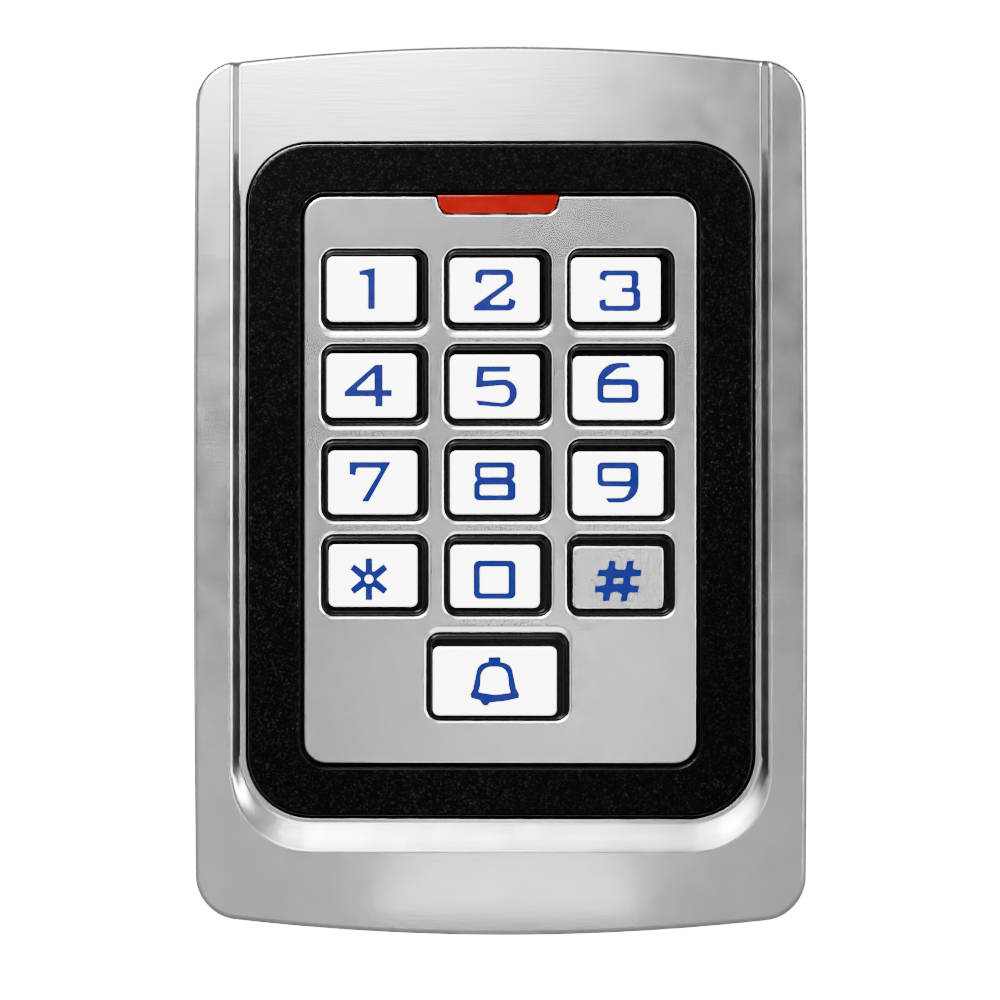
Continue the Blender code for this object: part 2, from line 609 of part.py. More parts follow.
def make_plate():
    outer = notched_outline(PLATE_WIDTH, PLATE_HEIGHT, PLATE_CORNER_R, (0.0, KEYPAD_Y),
                            lens_corners(LENS_GAP), WINDOW_BEVEL)
    windows = [window_outline(at, size, 0.0) for _, at, size in key_table()]
    wide_windows = [window_outline(at, size, WINDOW_BEVEL) for _, at, size in key_table()]
    bevel_z = PLATE_FRONT - WINDOW_BEVEL
    levels = [(PLATE_BACK, [outer] + windows), (bevel_z, [outer] + windows),
              (PLATE_FRONT, [outer] + wide_windows)]
    plate = add_part("keypad_plate", solid(levels), "plate_satin")
    post_end = KEYPAD_BOARD_FRONT + GAP
    posts = [prism(circle(POST_DIAMETER, at), post_end, PLATE_BACK + EMBED) for at in PLATE_POSTS]
    add(plate, merged(posts), "posts")
    hole_end = KEYPAD_BOARD_BACK - GAP + KEYPAD_SCREW[3] + GAP
    hole = KEYPAD_SCREW[0] + 2 * GAP
    cut(plate, merged([prism(circle(hole, at), post_end - BEYOND, hole_end) for at in PLATE_POSTS]))


# ---------------------------------------------------------------- mat and keys
def make_mat():
    notch_x = LED_NOTCH_WIDTH / 2
    notch_low = KEYPAD_Y + MAT_SIZE[1] / 2 - LED_NOTCH_DEPTH
    notch = [(KEYS_X + notch_x, 0.0), (KEYS_X + notch_x, notch_low),
             (KEYS_X - notch_x, notch_low), (KEYS_X - notch_x, 0.0)]
    outer = notched_outline(*MAT_SIZE, PLATE_CORNER_R / 2, (0.0, KEYPAD_Y), notch, MAT_MARGIN)
    holes = [circle(STEM_HOLE, cap_middle(at)) for _, at, _ in key_table()]
    holes += [circle(POST_DIAMETER + 2 * MAT_MARGIN, at) for at in PLATE_POSTS]
    mat = add_part("key_mat", solid([(MAT_BACK, [outer] + holes), (MAT_FRONT, [outer] + holes)]),
                   "rubber_black")
    top = PLATE_FRONT - COLLAR_RECESS
    collars = []
    for _, at, size in key_table():
        loops = [window_outline(at, size, -COLLAR_GAP),
                 window_outline(at, size, -COLLAR_GAP - COLLAR_WIDTH)]
        collars.append(solid([(MAT_FRONT - EMBED, loops), (top, loops)]))
    add(mat, merged(collars), "collars")


def cap_middle(at):
    return (at[0] + CAP_SHIFT[0], at[1] + CAP_SHIFT[1])


def make_key(name, at, size):
    """Key cap with its stem, and the legend inlaid in its face; both move along the cap's axis."""
    middle = cap_middle(at)
    width, height = size[0] - 2 * CAP_MARGIN_X, size[1] - 2 * CAP_MARGIN_Y
    outline = box_outline(width, height, CAP_CORNER_R, middle, KEY_ARC_STEP)
    face = offset(outline, -CAP_CHAMFER)
    stem = circle(STEM_DIAMETER, middle)
    stem_end = KEYPAD_BOARD_FRONT + KEY_TRAVEL + PRESS_CLEARANCE
    levels = [(stem_end, [stem]), (CAP_BACK, [stem]), (CAP_BACK, [outline]),
              (CAP_FRONT - CAP_CHAMFER, [outline]), (CAP_FRONT, [face])]
    origin = (*middle, CAP_BACK)
    key = add_part(f"key_{name}", solid(levels), "bright_key_metal", origin)

    glyph = [[point + Vector(middle) for point in loop] for loop in GLYPHS[name]()]
    pocket_z = CAP_FRONT - POCKET_DEPTH
    cut(key, solid([(pocket_z, glyph), (CAP_FRONT + BEYOND, glyph)]), "pocket")
    inlay = [offset(glyph[0], -INLAY_GAP)] + [offset(hole, INLAY_GAP) for hole in glyph[1:]]
    low = pocket_z + INLAY_GAP
    legend = add_part(f"legend_{name}", solid([(low, inlay), (low + INLAY_THICK, inlay)]),
                      "legend_blue", origin)
    legend.parent = key
    legend.location = (0.0, 0.0, 0.0)


# ---------------------------------------------------------------- legends, in millimetres
def scaled(corners, shift=(0.0, 0.0)):
    """Corner list in millimetres as an outline in metres, moved on its cap by shift."""
    moved = [(corner[0] + shift[0], corner[1] + shift[1], *corner[2:]) for corner in corners]
    return rounded([tuple(value * MM for value in corner) for corner in moved], KEY_ARC_STEP)


def box_corners(left, top, right, bottom, radius):
    return [(left, top, radius), (right, top, radius), (right, bottom, radius), (left, bottom, radius)]


def glyph_1():
    return [scaled([(-1.1, 2.37), (1.1, 2.82), (1.1, -2.82), (0.1, -2.82), (0.1, 1.75, 0.4),
                    (-1.05, 1.75)], (-0.6, 0.1))]


def glyph_2():
    return [scaled([(-2.65, 1.08), (-2.65, 2.83, 0.9), (2.56, 2.83, 0.9), (2.56, 0.85, 0.6),
                    (-1.13, -1.93, 0.3), (1.82, -1.93, 0.35), (1.87, -1.0), (2.87, -1.38),
                    (2.87, -2.83, 1.1), (-2.83, -2.83), (-2.83, -2.09), (1.53, 1.04, 0.4),
                    (1.53, 1.98, 0.35), (-1.58, 1.98, 0.3), (-1.71, 0.79)])]


def glyph_3():
    return [scaled([(-2.75, 1.5), (-2.75, 2.78, 0.75), (2.56, 2.78, 0.65), (2.56, 0.77, 0.4),
                    (2.3, 0.44), (2.8, -0.05, 0.4), (2.8, -2.78, 0.75), (-2.8, -2.78, 0.75),
                    (-2.8, -1.28), (-1.89, -1.06), (-1.82, -1.98, 0.35), (1.77, -1.98, 0.4),
                    (1.77, -0.25, 0.3), (0.22, -0.25), (0.22, 0.44), (1.55, 0.44, 0.3),
                    (1.55, 1.99, 0.3), (-1.86, 1.99, 0.3), (-1.86, 1.21)], (0.55, -0.15))]


def glyph_4():
    outer = [(0.95, 2.85, 0.25), (1.99, 2.85), (1.99, -0.55), (3.22, -0.55), (3.22, -1.47),
             (1.99, -1.47), (1.99, -2.85), (0.92, -2.85), (0.92, -1.47, 0.2), (-3.22, -1.47),
             (-3.22, -0.79)]
    hole = [(0.8, 1.75), (0.8, -0.55), (-1.6, -0.55)]
    return [scaled(outer, (-0.45, 0.0)), scaled(hole, (-0.45, 0.0))]


def glyph_5():
    return [scaled([(-2.58, 2.83), (1.96, 2.83), (1.89, 2.0), (-1.6, 2.0), (-1.76, 0.92),
                    (2.85, 1.15, 1.7), (2.85, -2.88, 1.8), (-2.4, -2.5), (-2.88, -1.7),
                    (1.75, -2.2, 1.0), (1.75, 0.3, 0.9), (-2.8, -0.12)], (0.2, -0.08))]


def glyph_6():
    outer = [(1.37, 2.75), (1.78, 2.02), (0.0, 1.95, 1.4), (-1.7, 0.58), (2.84, 0.55, 0.9),
             (2.84, -2.75, 0.8), (-2.84, -2.75, 0.8), (-2.84, 2.7, 2.8)]
    return [scaled(outer, (0.0, 0.7)), scaled(box_corners(-1.9, -0.34, 1.78, -1.94, 0.3), (0.0, 0.7))]


def glyph_7():
    return [scaled([(-2.84, 2.71), (2.84, 2.71), (-0.2, -2.71), (-1.23, -2.71), (1.5, 1.84, 0.2),
                    (-1.81, 1.84, 0.3), (-1.93, 0.81), (-2.8, 0.97)], (-0.33, 0.08))]


def glyph_8():
    outer = [(-2.74, 2.62, 0.6), (2.72, 2.62, 0.6), (2.72, 0.75, 0.25), (2.4, 0.25),
             (2.84, -0.3, 0.3), (2.84, -2.62, 0.7), (-2.84, -2.62, 0.7), (-2.84, -0.3, 0.3),
             (-2.42, 0.25), (-2.74, 0.75, 0.25)]
    holes = [box_corners(-1.9, 1.78, 1.6, 0.6, 0.15), box_corners(-1.98, -0.5, 1.7, -1.82, 0.15)]
    return [scaled(outer, (0.0, 0.15))] + [scaled(hole, (0.0, 0.15)) for hole in holes]


def glyph_9():
    outer = [(-2.83, 2.77, 0.7), (2.83, 2.77, 0.8), (2.83, -2.77, 2.5), (-1.31, -2.72),
             (-1.76, -2.03), (1.0, -2.0, 1.0), (1.62, -0.6), (-2.83, -0.55, 0.8)]
    return [scaled(outer, (0.0, 0.13)), scaled(box_corners(-2.0, 1.84, 1.6, 0.25, 0.25), (0.0, 0.13))]


def glyph_0():
    shift = (-0.05, -0.45)
    return [scaled(box_corners(-2.87, 2.62, 2.87, -2.62, 0.8), shift),
            scaled(box_corners(-1.95, 1.74, 1.82, -1.78, 0.15), shift)]


def glyph_star():
    """Six square-ended arms round a hub with a hole."""
    arm, half_width, valley = 2.85, 0.48, 1.05
    corners = []
    angles = [90, 143.5, 216.5, 270, 323.5, 396.5]
    for index, degrees in enumerate(angles):
        along = Vector((math.cos(math.radians(degrees)), math.sin(math.radians(degrees))))
        side = Vector((-along.y, along.x)) * half_width
        corners += [tuple(along * arm - side), tuple(along * arm + side)]
        following = angles[(index + 1) % len(angles)] + (360 if index + 1 == len(angles) else 0)
        between = math.radians((degrees + following) / 2)
        corners.append((valley * math.cos(between), valley * math.sin(between), 0.12))
    shift = (-0.55, -0.48)
    hub = [((point.x + shift[0]) * MM, (point.y + shift[1]) * MM) for point in circle(1.1, sides=12)]
    return [scaled(corners, shift), [Vector(point) for point in hub]]


def glyph_hash():
    """Two leaning bars and two level bars, with filleted crossings and a small centre hole."""
    lean, bar_x, bar_y, half_bar = 0.163, 1.2, 1.07, 0.44
    end_x, end_y, fillet = 2.96, 2.75, 0.35
    upper = [(end_x, bar_y - half_bar), (end_x, bar_y + half_bar),
             (bar_x + half_bar, bar_y + half_bar, fillet), (bar_x + half_bar, end_y),
             (bar_x - half_bar, end_y), (bar_x - half_bar, bar_y + half_bar, fillet)]
    left_upper = [(-corner[0], *corner[1:]) for corner in upper[::-1]]
    notch = (bar_x + half_bar, bar_y - half_bar, fillet / 2)
    quarter = upper + left_upper + [(-notch[0], notch[1], notch[2])]
    half = quarter + [(-corner[0], -corner[1], *corner[2:]) for corner in quarter]
    hole = [(-0.62, -0.34), (0.62, -0.34), (0.62, 0.34), (-0.62, 0.34)]
    leaning = [[(c[0] + lean * c[1], *c[1:]) for c in corners] for corners in (half, hole)]
    return [scaled(corners, (0.0, -0.5)) for corners in leaning]


def glyph_bell():
    clapper = [(-1.23 + 0.62 * math.cos(math.radians(a)), -2.72 + 0.62 * math.sin(math.radians(a)))
               for a in range(-20, -161, -35)]
    outer = [(-0.87, 3.25), (0.8, 3.28), (0.86, 2.6), (2.25, 2.3, 1.4), (2.9, -0.9, 0.8),
             (3.32, -1.75), (3.28, -2.3), (1.6, -2.68)] + clapper
    outer += [(-2.0, -2.62), (-3.2, -2.3), (-3.32, -1.7), (-2.93, -1.0, 0.8), (-2.3, 2.3, 1.5),
              (-0.87, 2.63)]
    hole = [(-1.8, 1.9, 1.4), (1.65, 1.9, 1.4), (1.85, -0.6), (2.1, -1.54), (0.0, -1.8),
            (-2.15, -1.47), (-1.9, -0.6)]
    return [scaled(outer), scaled(hole)]


GLYPHS = {
    "1": glyph_1, "2": glyph_2, "3": glyph_3, "4": glyph_4, "5": glyph_5, "6": glyph_6,
    "7": glyph_7, "8": glyph_8, "9": glyph_9, "0": glyph_0, "star": glyph_star,
    "hash": glyph_hash, "bell": glyph_bell,
}


# ---------------------------------------------------------------- boards and electronics
def make_boards():
    post_hole = KEYPAD_SCREW[0] + 2 * GAP
    outline = box_outline(*MAT_SIZE, PLATE_CORNER_R / 2, (0.0, KEYPAD_Y))
    loops = [outline] + [circle(post_hole, at) for at in PLATE_POSTS]
    add_part("keypad_board", solid([(KEYPAD_BOARD_BACK, loops), (KEYPAD_BOARD_FRONT, loops)]),
             "board_green")

    top, low = BOSS_TOP_Y + BOARD_EDGE, BOSS_LOW_Y - BOARD_EDGE
    outline = box_outline(MAIN_BOARD_WIDTH, top - low, PLATE_CORNER_R / 2, (0.0, (top + low) / 2))
    loops = [outline] + [circle(BOARD_SCREW[0] + 2 * GAP, at) for at in BOARD_BOSSES]
    add_part("main_board", solid([(MAIN_BOARD_BACK, loops), (MAIN_BOARD_FRONT, loops)]), "board_green")

    coil_size = Vector((BEZEL_WIDTH - 2 * COIL_INSET, BEZEL_HEIGHT - 2 * COIL_INSET))
    inner_size = coil_size - Vector((2 * COIL_WIDTH, 2 * COIL_WIDTH))
    radius = BEZEL_CORNER_R - COIL_INSET
    loops = [box_outline(*coil_size, radius, (0.0, KEYPAD_Y)),
             box_outline(*inner_size, radius - COIL_WIDTH, (0.0, KEYPAD_Y))]
    low = MAIN_BOARD_FRONT + GAP
    add_part("antenna_coil", solid([(low, loops), (low + COIL_THICK, loops)]), "coil_copper")

    led_y = KEYPAD_Y + MAT_SIZE[1] / 2 - LED_NOTCH_DEPTH / 2
    low = KEYPAD_BOARD_FRONT + GAP
    for index in range(LED_COUNT):
        at = (KEYS_X + (index - (LED_COUNT - 1) / 2) * LED_PITCH, led_y)
        outline = box_outline(LED_SIZE[0], LED_SIZE[1], LED_CORNER_R, at)
        add_part(f"status_led_{index + 1}", prism(outline, low, low + LED_SIZE[2]), "led_white")


def make_electronics():
    """Components on the back of the main board."""
    top = MAIN_BOARD_BACK - GAP
    for name, size, at, height, material in PACKAGES:
        add_part(name, prism(box_outline(*size, PACKAGE_CORNER_R, at), top - height, top), material)
    rim = circle(BUZZER_DIAMETER, BUZZER_AT, ROUND_SIDES)
    port = circle(BUZZER_PORT[0], BUZZER_AT, ROUND_SIDES)
    back = top - BUZZER_HEIGHT
    body = [(top, [rim]), (back, [rim]), (back, [port]), (back + BUZZER_PORT[1], [port])]
    add_part("buzzer", solid(body), "component_black", round_shape=True)
    sensor = circle(SENSOR_DIAMETER, TAMPER_AT)
    add_part("tamper_sensor", prism(sensor, top - SENSOR_HEIGHT, top), "clear_plastic", round_shape=True)


# ---------------------------------------------------------------- rear cover and bracket
def make_rear_cover():
    outline = case_loop(REAR_WALL + GAP)
    hook_top = HOOK_Y + BRACKET_THICK + GAP
    hook_low = HOOK_Y - HOOK_DROP - GAP
    holes = [circle(GROMMET_WAIST + 2 * GAP, (0.0, GROMMET_Y), ROUND_SIDES),
             circle(TAMPER_DIAMETER + 2 * GAP, TAMPER_AT)]
    for side in (-1, 1):
        middle = (side * HOOK_X, (hook_top + hook_low) / 2)
        holes.append(box_outline(HOOK_WIDTH + 4 * GAP, hook_top - hook_low, GAP, middle))
    holes.append(box_outline(FLANGE_WIDTH + 4 * GAP, BRACKET_THICK + 2 * GAP, GAP,
                             (0.0, FLANGE_Y + BRACKET_THICK / 2)))
    holes += [circle(COVER_SCREW[0] + 2 * GAP, at) for at in COVER_POSTS]
    levels = [(COVER_BACK, [outline] + holes), (COVER_FRONT, [outline] + holes)]
    add_part("rear_cover", solid(levels), "cover_black")

    low = COVER_FRONT + GAP
    ring = [case_loop(REAR_WALL + GAP), case_loop(SIDE_WALL - COLLAR_GAP)]
    add_part("cover_gasket", solid([(low, ring), (low + GASKET_THICK, ring)]), "rubber_black")

    window = circle(TAMPER_DIAMETER, TAMPER_AT)
    add_part("tamper_window", prism(window, COVER_BACK, COVER_FRONT), "clear_plastic",
             round_shape=True)


def make_grommet():
    """Rubber grommet with a groove that holds the edge of the cable hole."""
    at = (0.0, GROMMET_Y)
    bore = circle(GROMMET_BORE, at, ROUND_SIDES)
    waist = circle(GROMMET_WAIST, at, ROUND_SIDES)
    flange = circle(GROMMET_FLANGE, at, ROUND_SIDES)
    low, high = COVER_BACK - GAP, COVER_FRONT + GAP
    levels = [(low - GROMMET_LIP, [flange, bore]), (low, [flange, bore]), (low, [waist, bore]),
              (high, [waist, bore]), (high, [flange, bore]), (high + GROMMET_LIP, [flange, bore])]
    add_part("cable_grommet", solid(levels), "rubber_black", round_shape=True)


def make_bracket():
    height = BRACKET_TOP - FLANGE_Y
    middle = (0.0, (BRACKET_TOP + FLANGE_Y) / 2)
    outline = box_outline(BRACKET_WIDTH, height, BRACKET_CORNER_R, middle)
    holes = [box_outline(*WALL_SLOT, WALL_SLOT[0] / 2 - GAP, at) for at in WALL_SLOTS_AT]
    holes.append(circle(BRACKET_CABLE_HOLE, (0.0, GROMMET_Y), ROUND_SIDES))
    levels = [(0.0, [outline] + holes), (BRACKET_THICK, [outline] + holes)]
    bracket = add_part("wall_bracket", solid(levels), "bracket_steel")

    root = BRACKET_THICK - EMBED
    lip_low, lip_high = COVER_FRONT + GAP, COVER_FRONT + GAP + BRACKET_THICK
    hook_front = HOOK_Y + BRACKET_THICK
    hook = [(HOOK_Y, root), (hook_front, root), (hook_front, lip_low),
            (hook_front + HOOK_LIP, lip_low), (hook_front + HOOK_LIP, lip_high), (HOOK_Y, lip_high)]
    tabs = [bent_strip(hook, side * HOOK_X, HOOK_WIDTH) for side in (-1, 1)]
    flange_end = FLANGE_Y + BRACKET_THICK
    tabs.append(bent_strip([(FLANGE_Y, root), (flange_end, root), (flange_end, FLANGE_HEIGHT),
                            (FLANGE_Y, FLANGE_HEIGHT)], 0.0, FLANGE_WIDTH))
    add(bracket, merged(tabs), "tabs")
    hole = prism(circle(SECURITY_SCREW[0] + 2 * GAP), 0.0, FLANGE_INSET + BRACKET_THICK + BEYOND)
    hole.transform(upright_from_bottom())
    cut(bracket, hole, "screw_hole")


# ---------------------------------------------------------------- screws
def screw_solid(size, lobes):
    """Screw along z with its head below z = 0 and a driver recess in the head."""
    shaft, head, head_height, length = size
    recess = circle(head * RECESS_SHARE, lobes=lobes, wave=RECESS_WAVE)
    head_round, shaft_round = circle(head), circle(shaft)
    levels = [(-head_height / 3, [recess]), (-head_height, [recess]), (-head_height, [head_round]),
              (0.0, [head_round]), (0.0, [shaft_round]), (length, [shaft_round])]
    return solid(levels)


def make_screws():
    def place(name, size, at, z):
        bm = screw_solid(size, PLAIN_LOBES)
        bm.transform(Matrix.Translation((*at, z)))
        add_part(name, bm, "screw_steel", (*at, z), True)

    for index, at in enumerate(COVER_POSTS):
        place(f"cover_screw_{index + 1}", COVER_SCREW, at, COVER_BACK - GAP)
    for index, at in enumerate(PLATE_POSTS):
        place(f"keypad_screw_{index + 1}", KEYPAD_SCREW, at, KEYPAD_BOARD_BACK - GAP)
    for index, at in enumerate(BOARD_BOSSES):
        place(f"board_screw_{index + 1}", BOARD_SCREW, at, MAIN_BOARD_BACK - GAP)

    bm = screw_solid(SECURITY_SCREW, SECURITY_LOBES)
    head_end = SECURITY_RECESS + SECURITY_SCREW[2]
    bm.transform(upright_from_bottom() @ Matrix.Translation((0.0, 0.0, head_end)))
    origin = (0.0, head_end - CASE_HEIGHT / 2, SECURITY_SCREW_Z)
    add_part("security_screw", bm, "screw_steel", origin, True)


# ---------------------------------------------------------------- the whole reader
for old in list(bpy.data.objects):
    bpy.data.objects.remove(old)
ASSEMBLY = bpy.data.objects.new("keypad_access_reader", None)
bpy.context.scene.collection.objects.link(ASSEMBLY)

make_front_case()
make_bezel()
make_plate()
make_lens()
make_mat()
for key_name, key_at, key_window in key_table():
    make_key(key_name, key_at, key_window)
make_boards()
make_electronics()
make_rear_cover()
make_grommet()
make_bracket()
make_screws()
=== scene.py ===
"""Keypad access reader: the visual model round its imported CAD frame, with its studio.

Shapes are drawn in millimetres, lying down: x to the right, y up the wall, z out of the wall.
STAND_UP turns them into the row frame, where +Z is up and the keys face -Y.
"""
import json
import math

import bmesh
import bpy
from mathutils import Matrix, Vector
from mathutils.geometry import delaunay_2d_cdt


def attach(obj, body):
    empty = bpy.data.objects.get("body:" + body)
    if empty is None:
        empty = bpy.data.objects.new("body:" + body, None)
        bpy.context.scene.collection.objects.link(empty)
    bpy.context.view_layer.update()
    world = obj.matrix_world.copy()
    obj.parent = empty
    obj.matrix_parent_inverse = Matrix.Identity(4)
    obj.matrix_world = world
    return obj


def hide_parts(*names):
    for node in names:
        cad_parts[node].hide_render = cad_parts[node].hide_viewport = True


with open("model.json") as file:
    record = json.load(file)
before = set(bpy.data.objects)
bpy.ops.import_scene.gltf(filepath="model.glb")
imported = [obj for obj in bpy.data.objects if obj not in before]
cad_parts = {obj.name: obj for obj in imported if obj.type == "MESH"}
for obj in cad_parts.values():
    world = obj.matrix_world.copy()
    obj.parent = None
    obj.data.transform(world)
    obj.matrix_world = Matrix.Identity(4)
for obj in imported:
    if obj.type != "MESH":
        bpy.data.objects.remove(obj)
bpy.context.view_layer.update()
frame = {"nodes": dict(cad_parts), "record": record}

STAND_UP = Matrix(((0.001, 0, 0, 0), (0, 0, -0.001, 0), (0, 0.001, 0, 0), (0, 0, 0, 1)))

# ---- sizes, in millimetres
CASE_WIDTH, CASE_HEIGHT, CASE_DEPTH = 83.0, 120.0, 22.0
CASE_CORNER_R, END_BULGE, SIDE_BULGE = 5.2, 2.6, 0.3
EDGE_R, CASE_RIM, REAR_WALL, SIDE_WALL = 0.9, 0.5, 1.8, 4.3
CROWN_ACROSS, CROWN_ALONG = 1.2, 0.8
INNER_FACE, LEDGE_Z = 17.5, 5.3
STEP_DEPTH, STEP_SLOPE, CHIN_SLOPE, STEP_R = 1.2, 1.1, 3.7, 9.4
STEP_X, STEP_Y = 35.2, -44.9        # foot of the step: half its width, and its lower edge
FOOT_BLEND, TOP_BLEND = 0.2, 0.35   # half widths of the rounding at the foot and top of the step

KEYPAD_Y = 1.4
BEZEL = (67.9, 90.5, 8.4)
BEZEL_GAP, BEZEL_FRONT = 0.35, 21.5
PLATE = (52.9, 76.4, 3.0)
PLATE_GAP, PLATE_BACK, PLATE_FRONT = 0.5, 19.5, 21.0
LENS_TOP, LENS_X, LENS_WIDTH, LENS_HEIGHT = 39.8, -0.3, 16.4, 2.5
WINDOW, BELL_WINDOW, WINDOW_R = (14.3, 10.9), (19.1, 11.7), 1.7
KEYS_X, COLUMN, ROW, TOP_ROW, BELL_ROW = -0.3, 16.6, 12.85, 27.1, -25.1
CAP_FRONT, CAP_BACK, CAP_R = 21.7, 19.9, 0.8
MAT_FRONT, MAT_BACK = 18.9, 17.7
STEM, STEM_BACK, STEM_HOLE = 3.0, 18.4, 4.2
POSTS = [(-22.0, 35.3), (22.0, 35.3), (-20.0, -24.5), (20.0, -24.5)]
COVER_BACK, COVER_FRONT = 2.0, 4.0
GROMMET_Y, HOOK_X = -16.0, 14.0
TAMPER = (20.0, -22.0, 5.4)
COVER_POSTS = [(-33.2, -50.0), (-33.2, 50.0), (33.2, -50.0), (33.2, 50.0)]
SECURITY_Z = 8.6

FINE = math.radians(9)              # step of the arcs that show from the front
WELD = 0.0000015                    # metres: shorter edges left by a Boolean are closed up
NEAREST = 0.008                     # points of an outline that are closer than this are one point


# ---- outlines
def rounded(corners, step=FINE):
    """Closed outline through corners (x, y) or (x, y, radius)."""
    points = []
    for index, corner in enumerate(corners):
        here = Vector(corner[:2])
        if len(corner) == 2 or corner[2] <= 0:
            points.append(here)
            continue
        back = (Vector(corners[index - 1][:2]) - here).normalized()
        ahead = (Vector(corners[(index + 1) % len(corners)][:2]) - here).normalized()
        half = back.angle(ahead) / 2
        centre = here + (back + ahead).normalized() * corner[2] / math.sin(half)
        start = here + back * corner[2] / math.tan(half) - centre
        turn = math.copysign(math.pi - 2 * half, ahead.cross(back))
        steps = max(2, math.ceil(abs(turn) / step - 0.01))
        points += [centre + Matrix.Rotation(turn * i / steps, 2) @ start for i in range(steps + 1)]
    return [p for i, p in enumerate(points) if (p - points[i - 1]).length > NEAREST]


def rect(width, height, radius, at=(0.0, 0.0), step=FINE):
    """Rounded rectangle round a point, counterclockwise from the lower right."""
    signs = [(1, -1), (1, 1), (-1, 1), (-1, -1)]
    return rounded([(at[0] + sx * width / 2, at[1] + sy * height / 2, radius) for sx, sy in signs], step)


def sides_rect(left, right, low, high, radius):
    return rect(right - left, high - low, radius, ((left + right) / 2, (low + high) / 2))


def circle(diameter, at=(0.0, 0.0), sides=48, lobes=0, wave=0.0):
    points = []
    for index in range(sides):
        angle = 2 * math.pi * (index + 0.5) / sides
        radius = diameter / 2 * (1 + wave * math.cos(lobes * angle))
        points.append(Vector((at[0] + radius * math.cos(angle), at[1] + radius * math.sin(angle))))
    return points


def divided(outline, length):
    """The outline with points added on its long edges."""
    points = []
    for a, b in zip(outline, outline[1:] + outline[:1]):
        pieces = max(1, round((b - a).length / length))
        points += [a.lerp(b, i / pieces) for i in range(pieces)]
    return points


def offset(outline, distance):
    """The outline moved outwards by a small distance (inwards where it is negative)."""
    area = sum(a.cross(b) for a, b in zip(outline, outline[1:] + outline[:1]))
    outward = distance if area > 0 else -distance
    moved = []
    for index, here in enumerate(outline):
        before = (here - outline[index - 1]).normalized()
        after = (outline[(index + 1) % len(outline)] - here).normalized()
        normal = Vector((before.y + after.y, -before.x - after.x)).normalized()
        stretch = max(normal.dot(Vector((before.y, -before.x))), 0.3)
        moved.append(here + normal * outward / stretch)
    return moved


# ---- meshes
def ring_of(bm, outline, z):
    return [bm.verts.new((p[0], p[1], z)) for p in outline]


def wall(bm, lower, upper):
    for i in range(len(lower)):
        bm.faces.new((lower[i - 1], lower[i], upper[i], upper[i - 1]))


def contains(outline, x, y):
    """Whether a point lies inside an outline."""
    inside = False
    for a, b in zip(outline, outline[1:] + outline[:1]):
        if (a.y > y) != (b.y > y) and x < a.x + (y - a.y) * (b.x - a.x) / (b.y - a.y):
            inside = not inside
    return inside


def fill(bm, rings):
    """Flat triangles inside one level ring, or between an outer ring and the rings of its holes."""
    verts = [vert for ring in rings for vert in ring]
    outlines = [[vert.co.xy for vert in ring] for ring in rings]
    edges, start = [], 0
    for ring in rings:
        count = len(ring)
        edges += [(start + i, start + (i + 1) % count) for i in range(count)]
        start += count
    points, _, faces, sources, _, _ = delaunay_2d_cdt([v.co.xy for v in verts], edges, [], 1, 1e-6, True)
    for face in faces:
        centre = sum((points[i] for i in face), Vector((0.0, 0.0))) / len(face)
        if sum(contains(outline, *centre) for outline in outlines) == 1:
            bm.faces.new([verts[sources[i][0]] for i in face])


def tower(bm, levels):
    """Rings of vertices through levels (z, outline), joined by walls."""
    rings = [ring_of(bm, outline, z) for z, outline in levels]
    for lower, upper in zip(rings, rings[1:]):
        wall(bm, lower, upper)
    return rings


def fill_ends(bm, *towers):
    fill(bm, [rings[0] for rings in towers])
    fill(bm, [rings[-1] for rings in towers])


def solid(levels):
    """Closed solid through levels (z, outlines); the outlines after the first are holes."""
    bm = bmesh.new()
    count = len(levels[0][1])
    fill_ends(bm, *[tower(bm, [(z, outlines[i]) for z, outlines in levels]) for i in range(count)])
    return bm


def quarter(radius, steps=4):
    """Rows (inset, sink) of a rounded edge, from the face out to the side."""
    angles = [math.pi / 2 * i / steps for i in range(steps + 1)]
    return [(radius * (1 - math.sin(a)), radius * (1 - math.cos(a))) for a in angles]


def slab(outline, holes, low, high, low_r=0.0, high_r=0.0, hole_r=None):
    """Solid between two levels with rounded edges; hole_r is the rounding of the holes' edges."""
    hole_low = low_r if hole_r is None else min(low_r, hole_r)
    hole_high = high_r if hole_r is None else min(high_r, hole_r)
    levels = []
    for end, radius, hole_radius, sign in ((low, low_r, hole_low, 1), (high, high_r, hole_high, -1)):
        rows = quarter(1.0) if radius else [(0.0, 0.0)]
        if sign < 0:
            rows = rows[::-1]
        for inset, sink in rows:
            outlines = [offset(outline, -inset * radius)]
            outlines += [offset(hole, inset * hole_radius) for hole in holes]
            levels.append((end + sign * sink * radius, outlines))
    return solid(levels)


def revolve(profile):
    """Closed turned solid from a profile of (radius, z); the first and last rows are capped."""
    bm = bmesh.new()
    fill_ends(bm, tower(bm, [(z, circle(2 * r)) for r, z in profile]))
    return bm


def point_up(bm, start=0.0):
    """Turns a solid along z to point up the wall, on the security screw's line, from the case's foot."""
    bm.transform(Matrix.Translation((0.0, start - CASE_HEIGHT / 2, SECURITY_Z))
                 @ Matrix.Rotation(-math.pi / 2, 4, "X"))


def join(bms):
    whole = bmesh.new()
    for part in bms:
        mesh = bpy.data.meshes.new("part")
        part.to_mesh(mesh)
        part.free()
        whole.from_mesh(mesh)
        bpy.data.meshes.remove(mesh)
    return whole


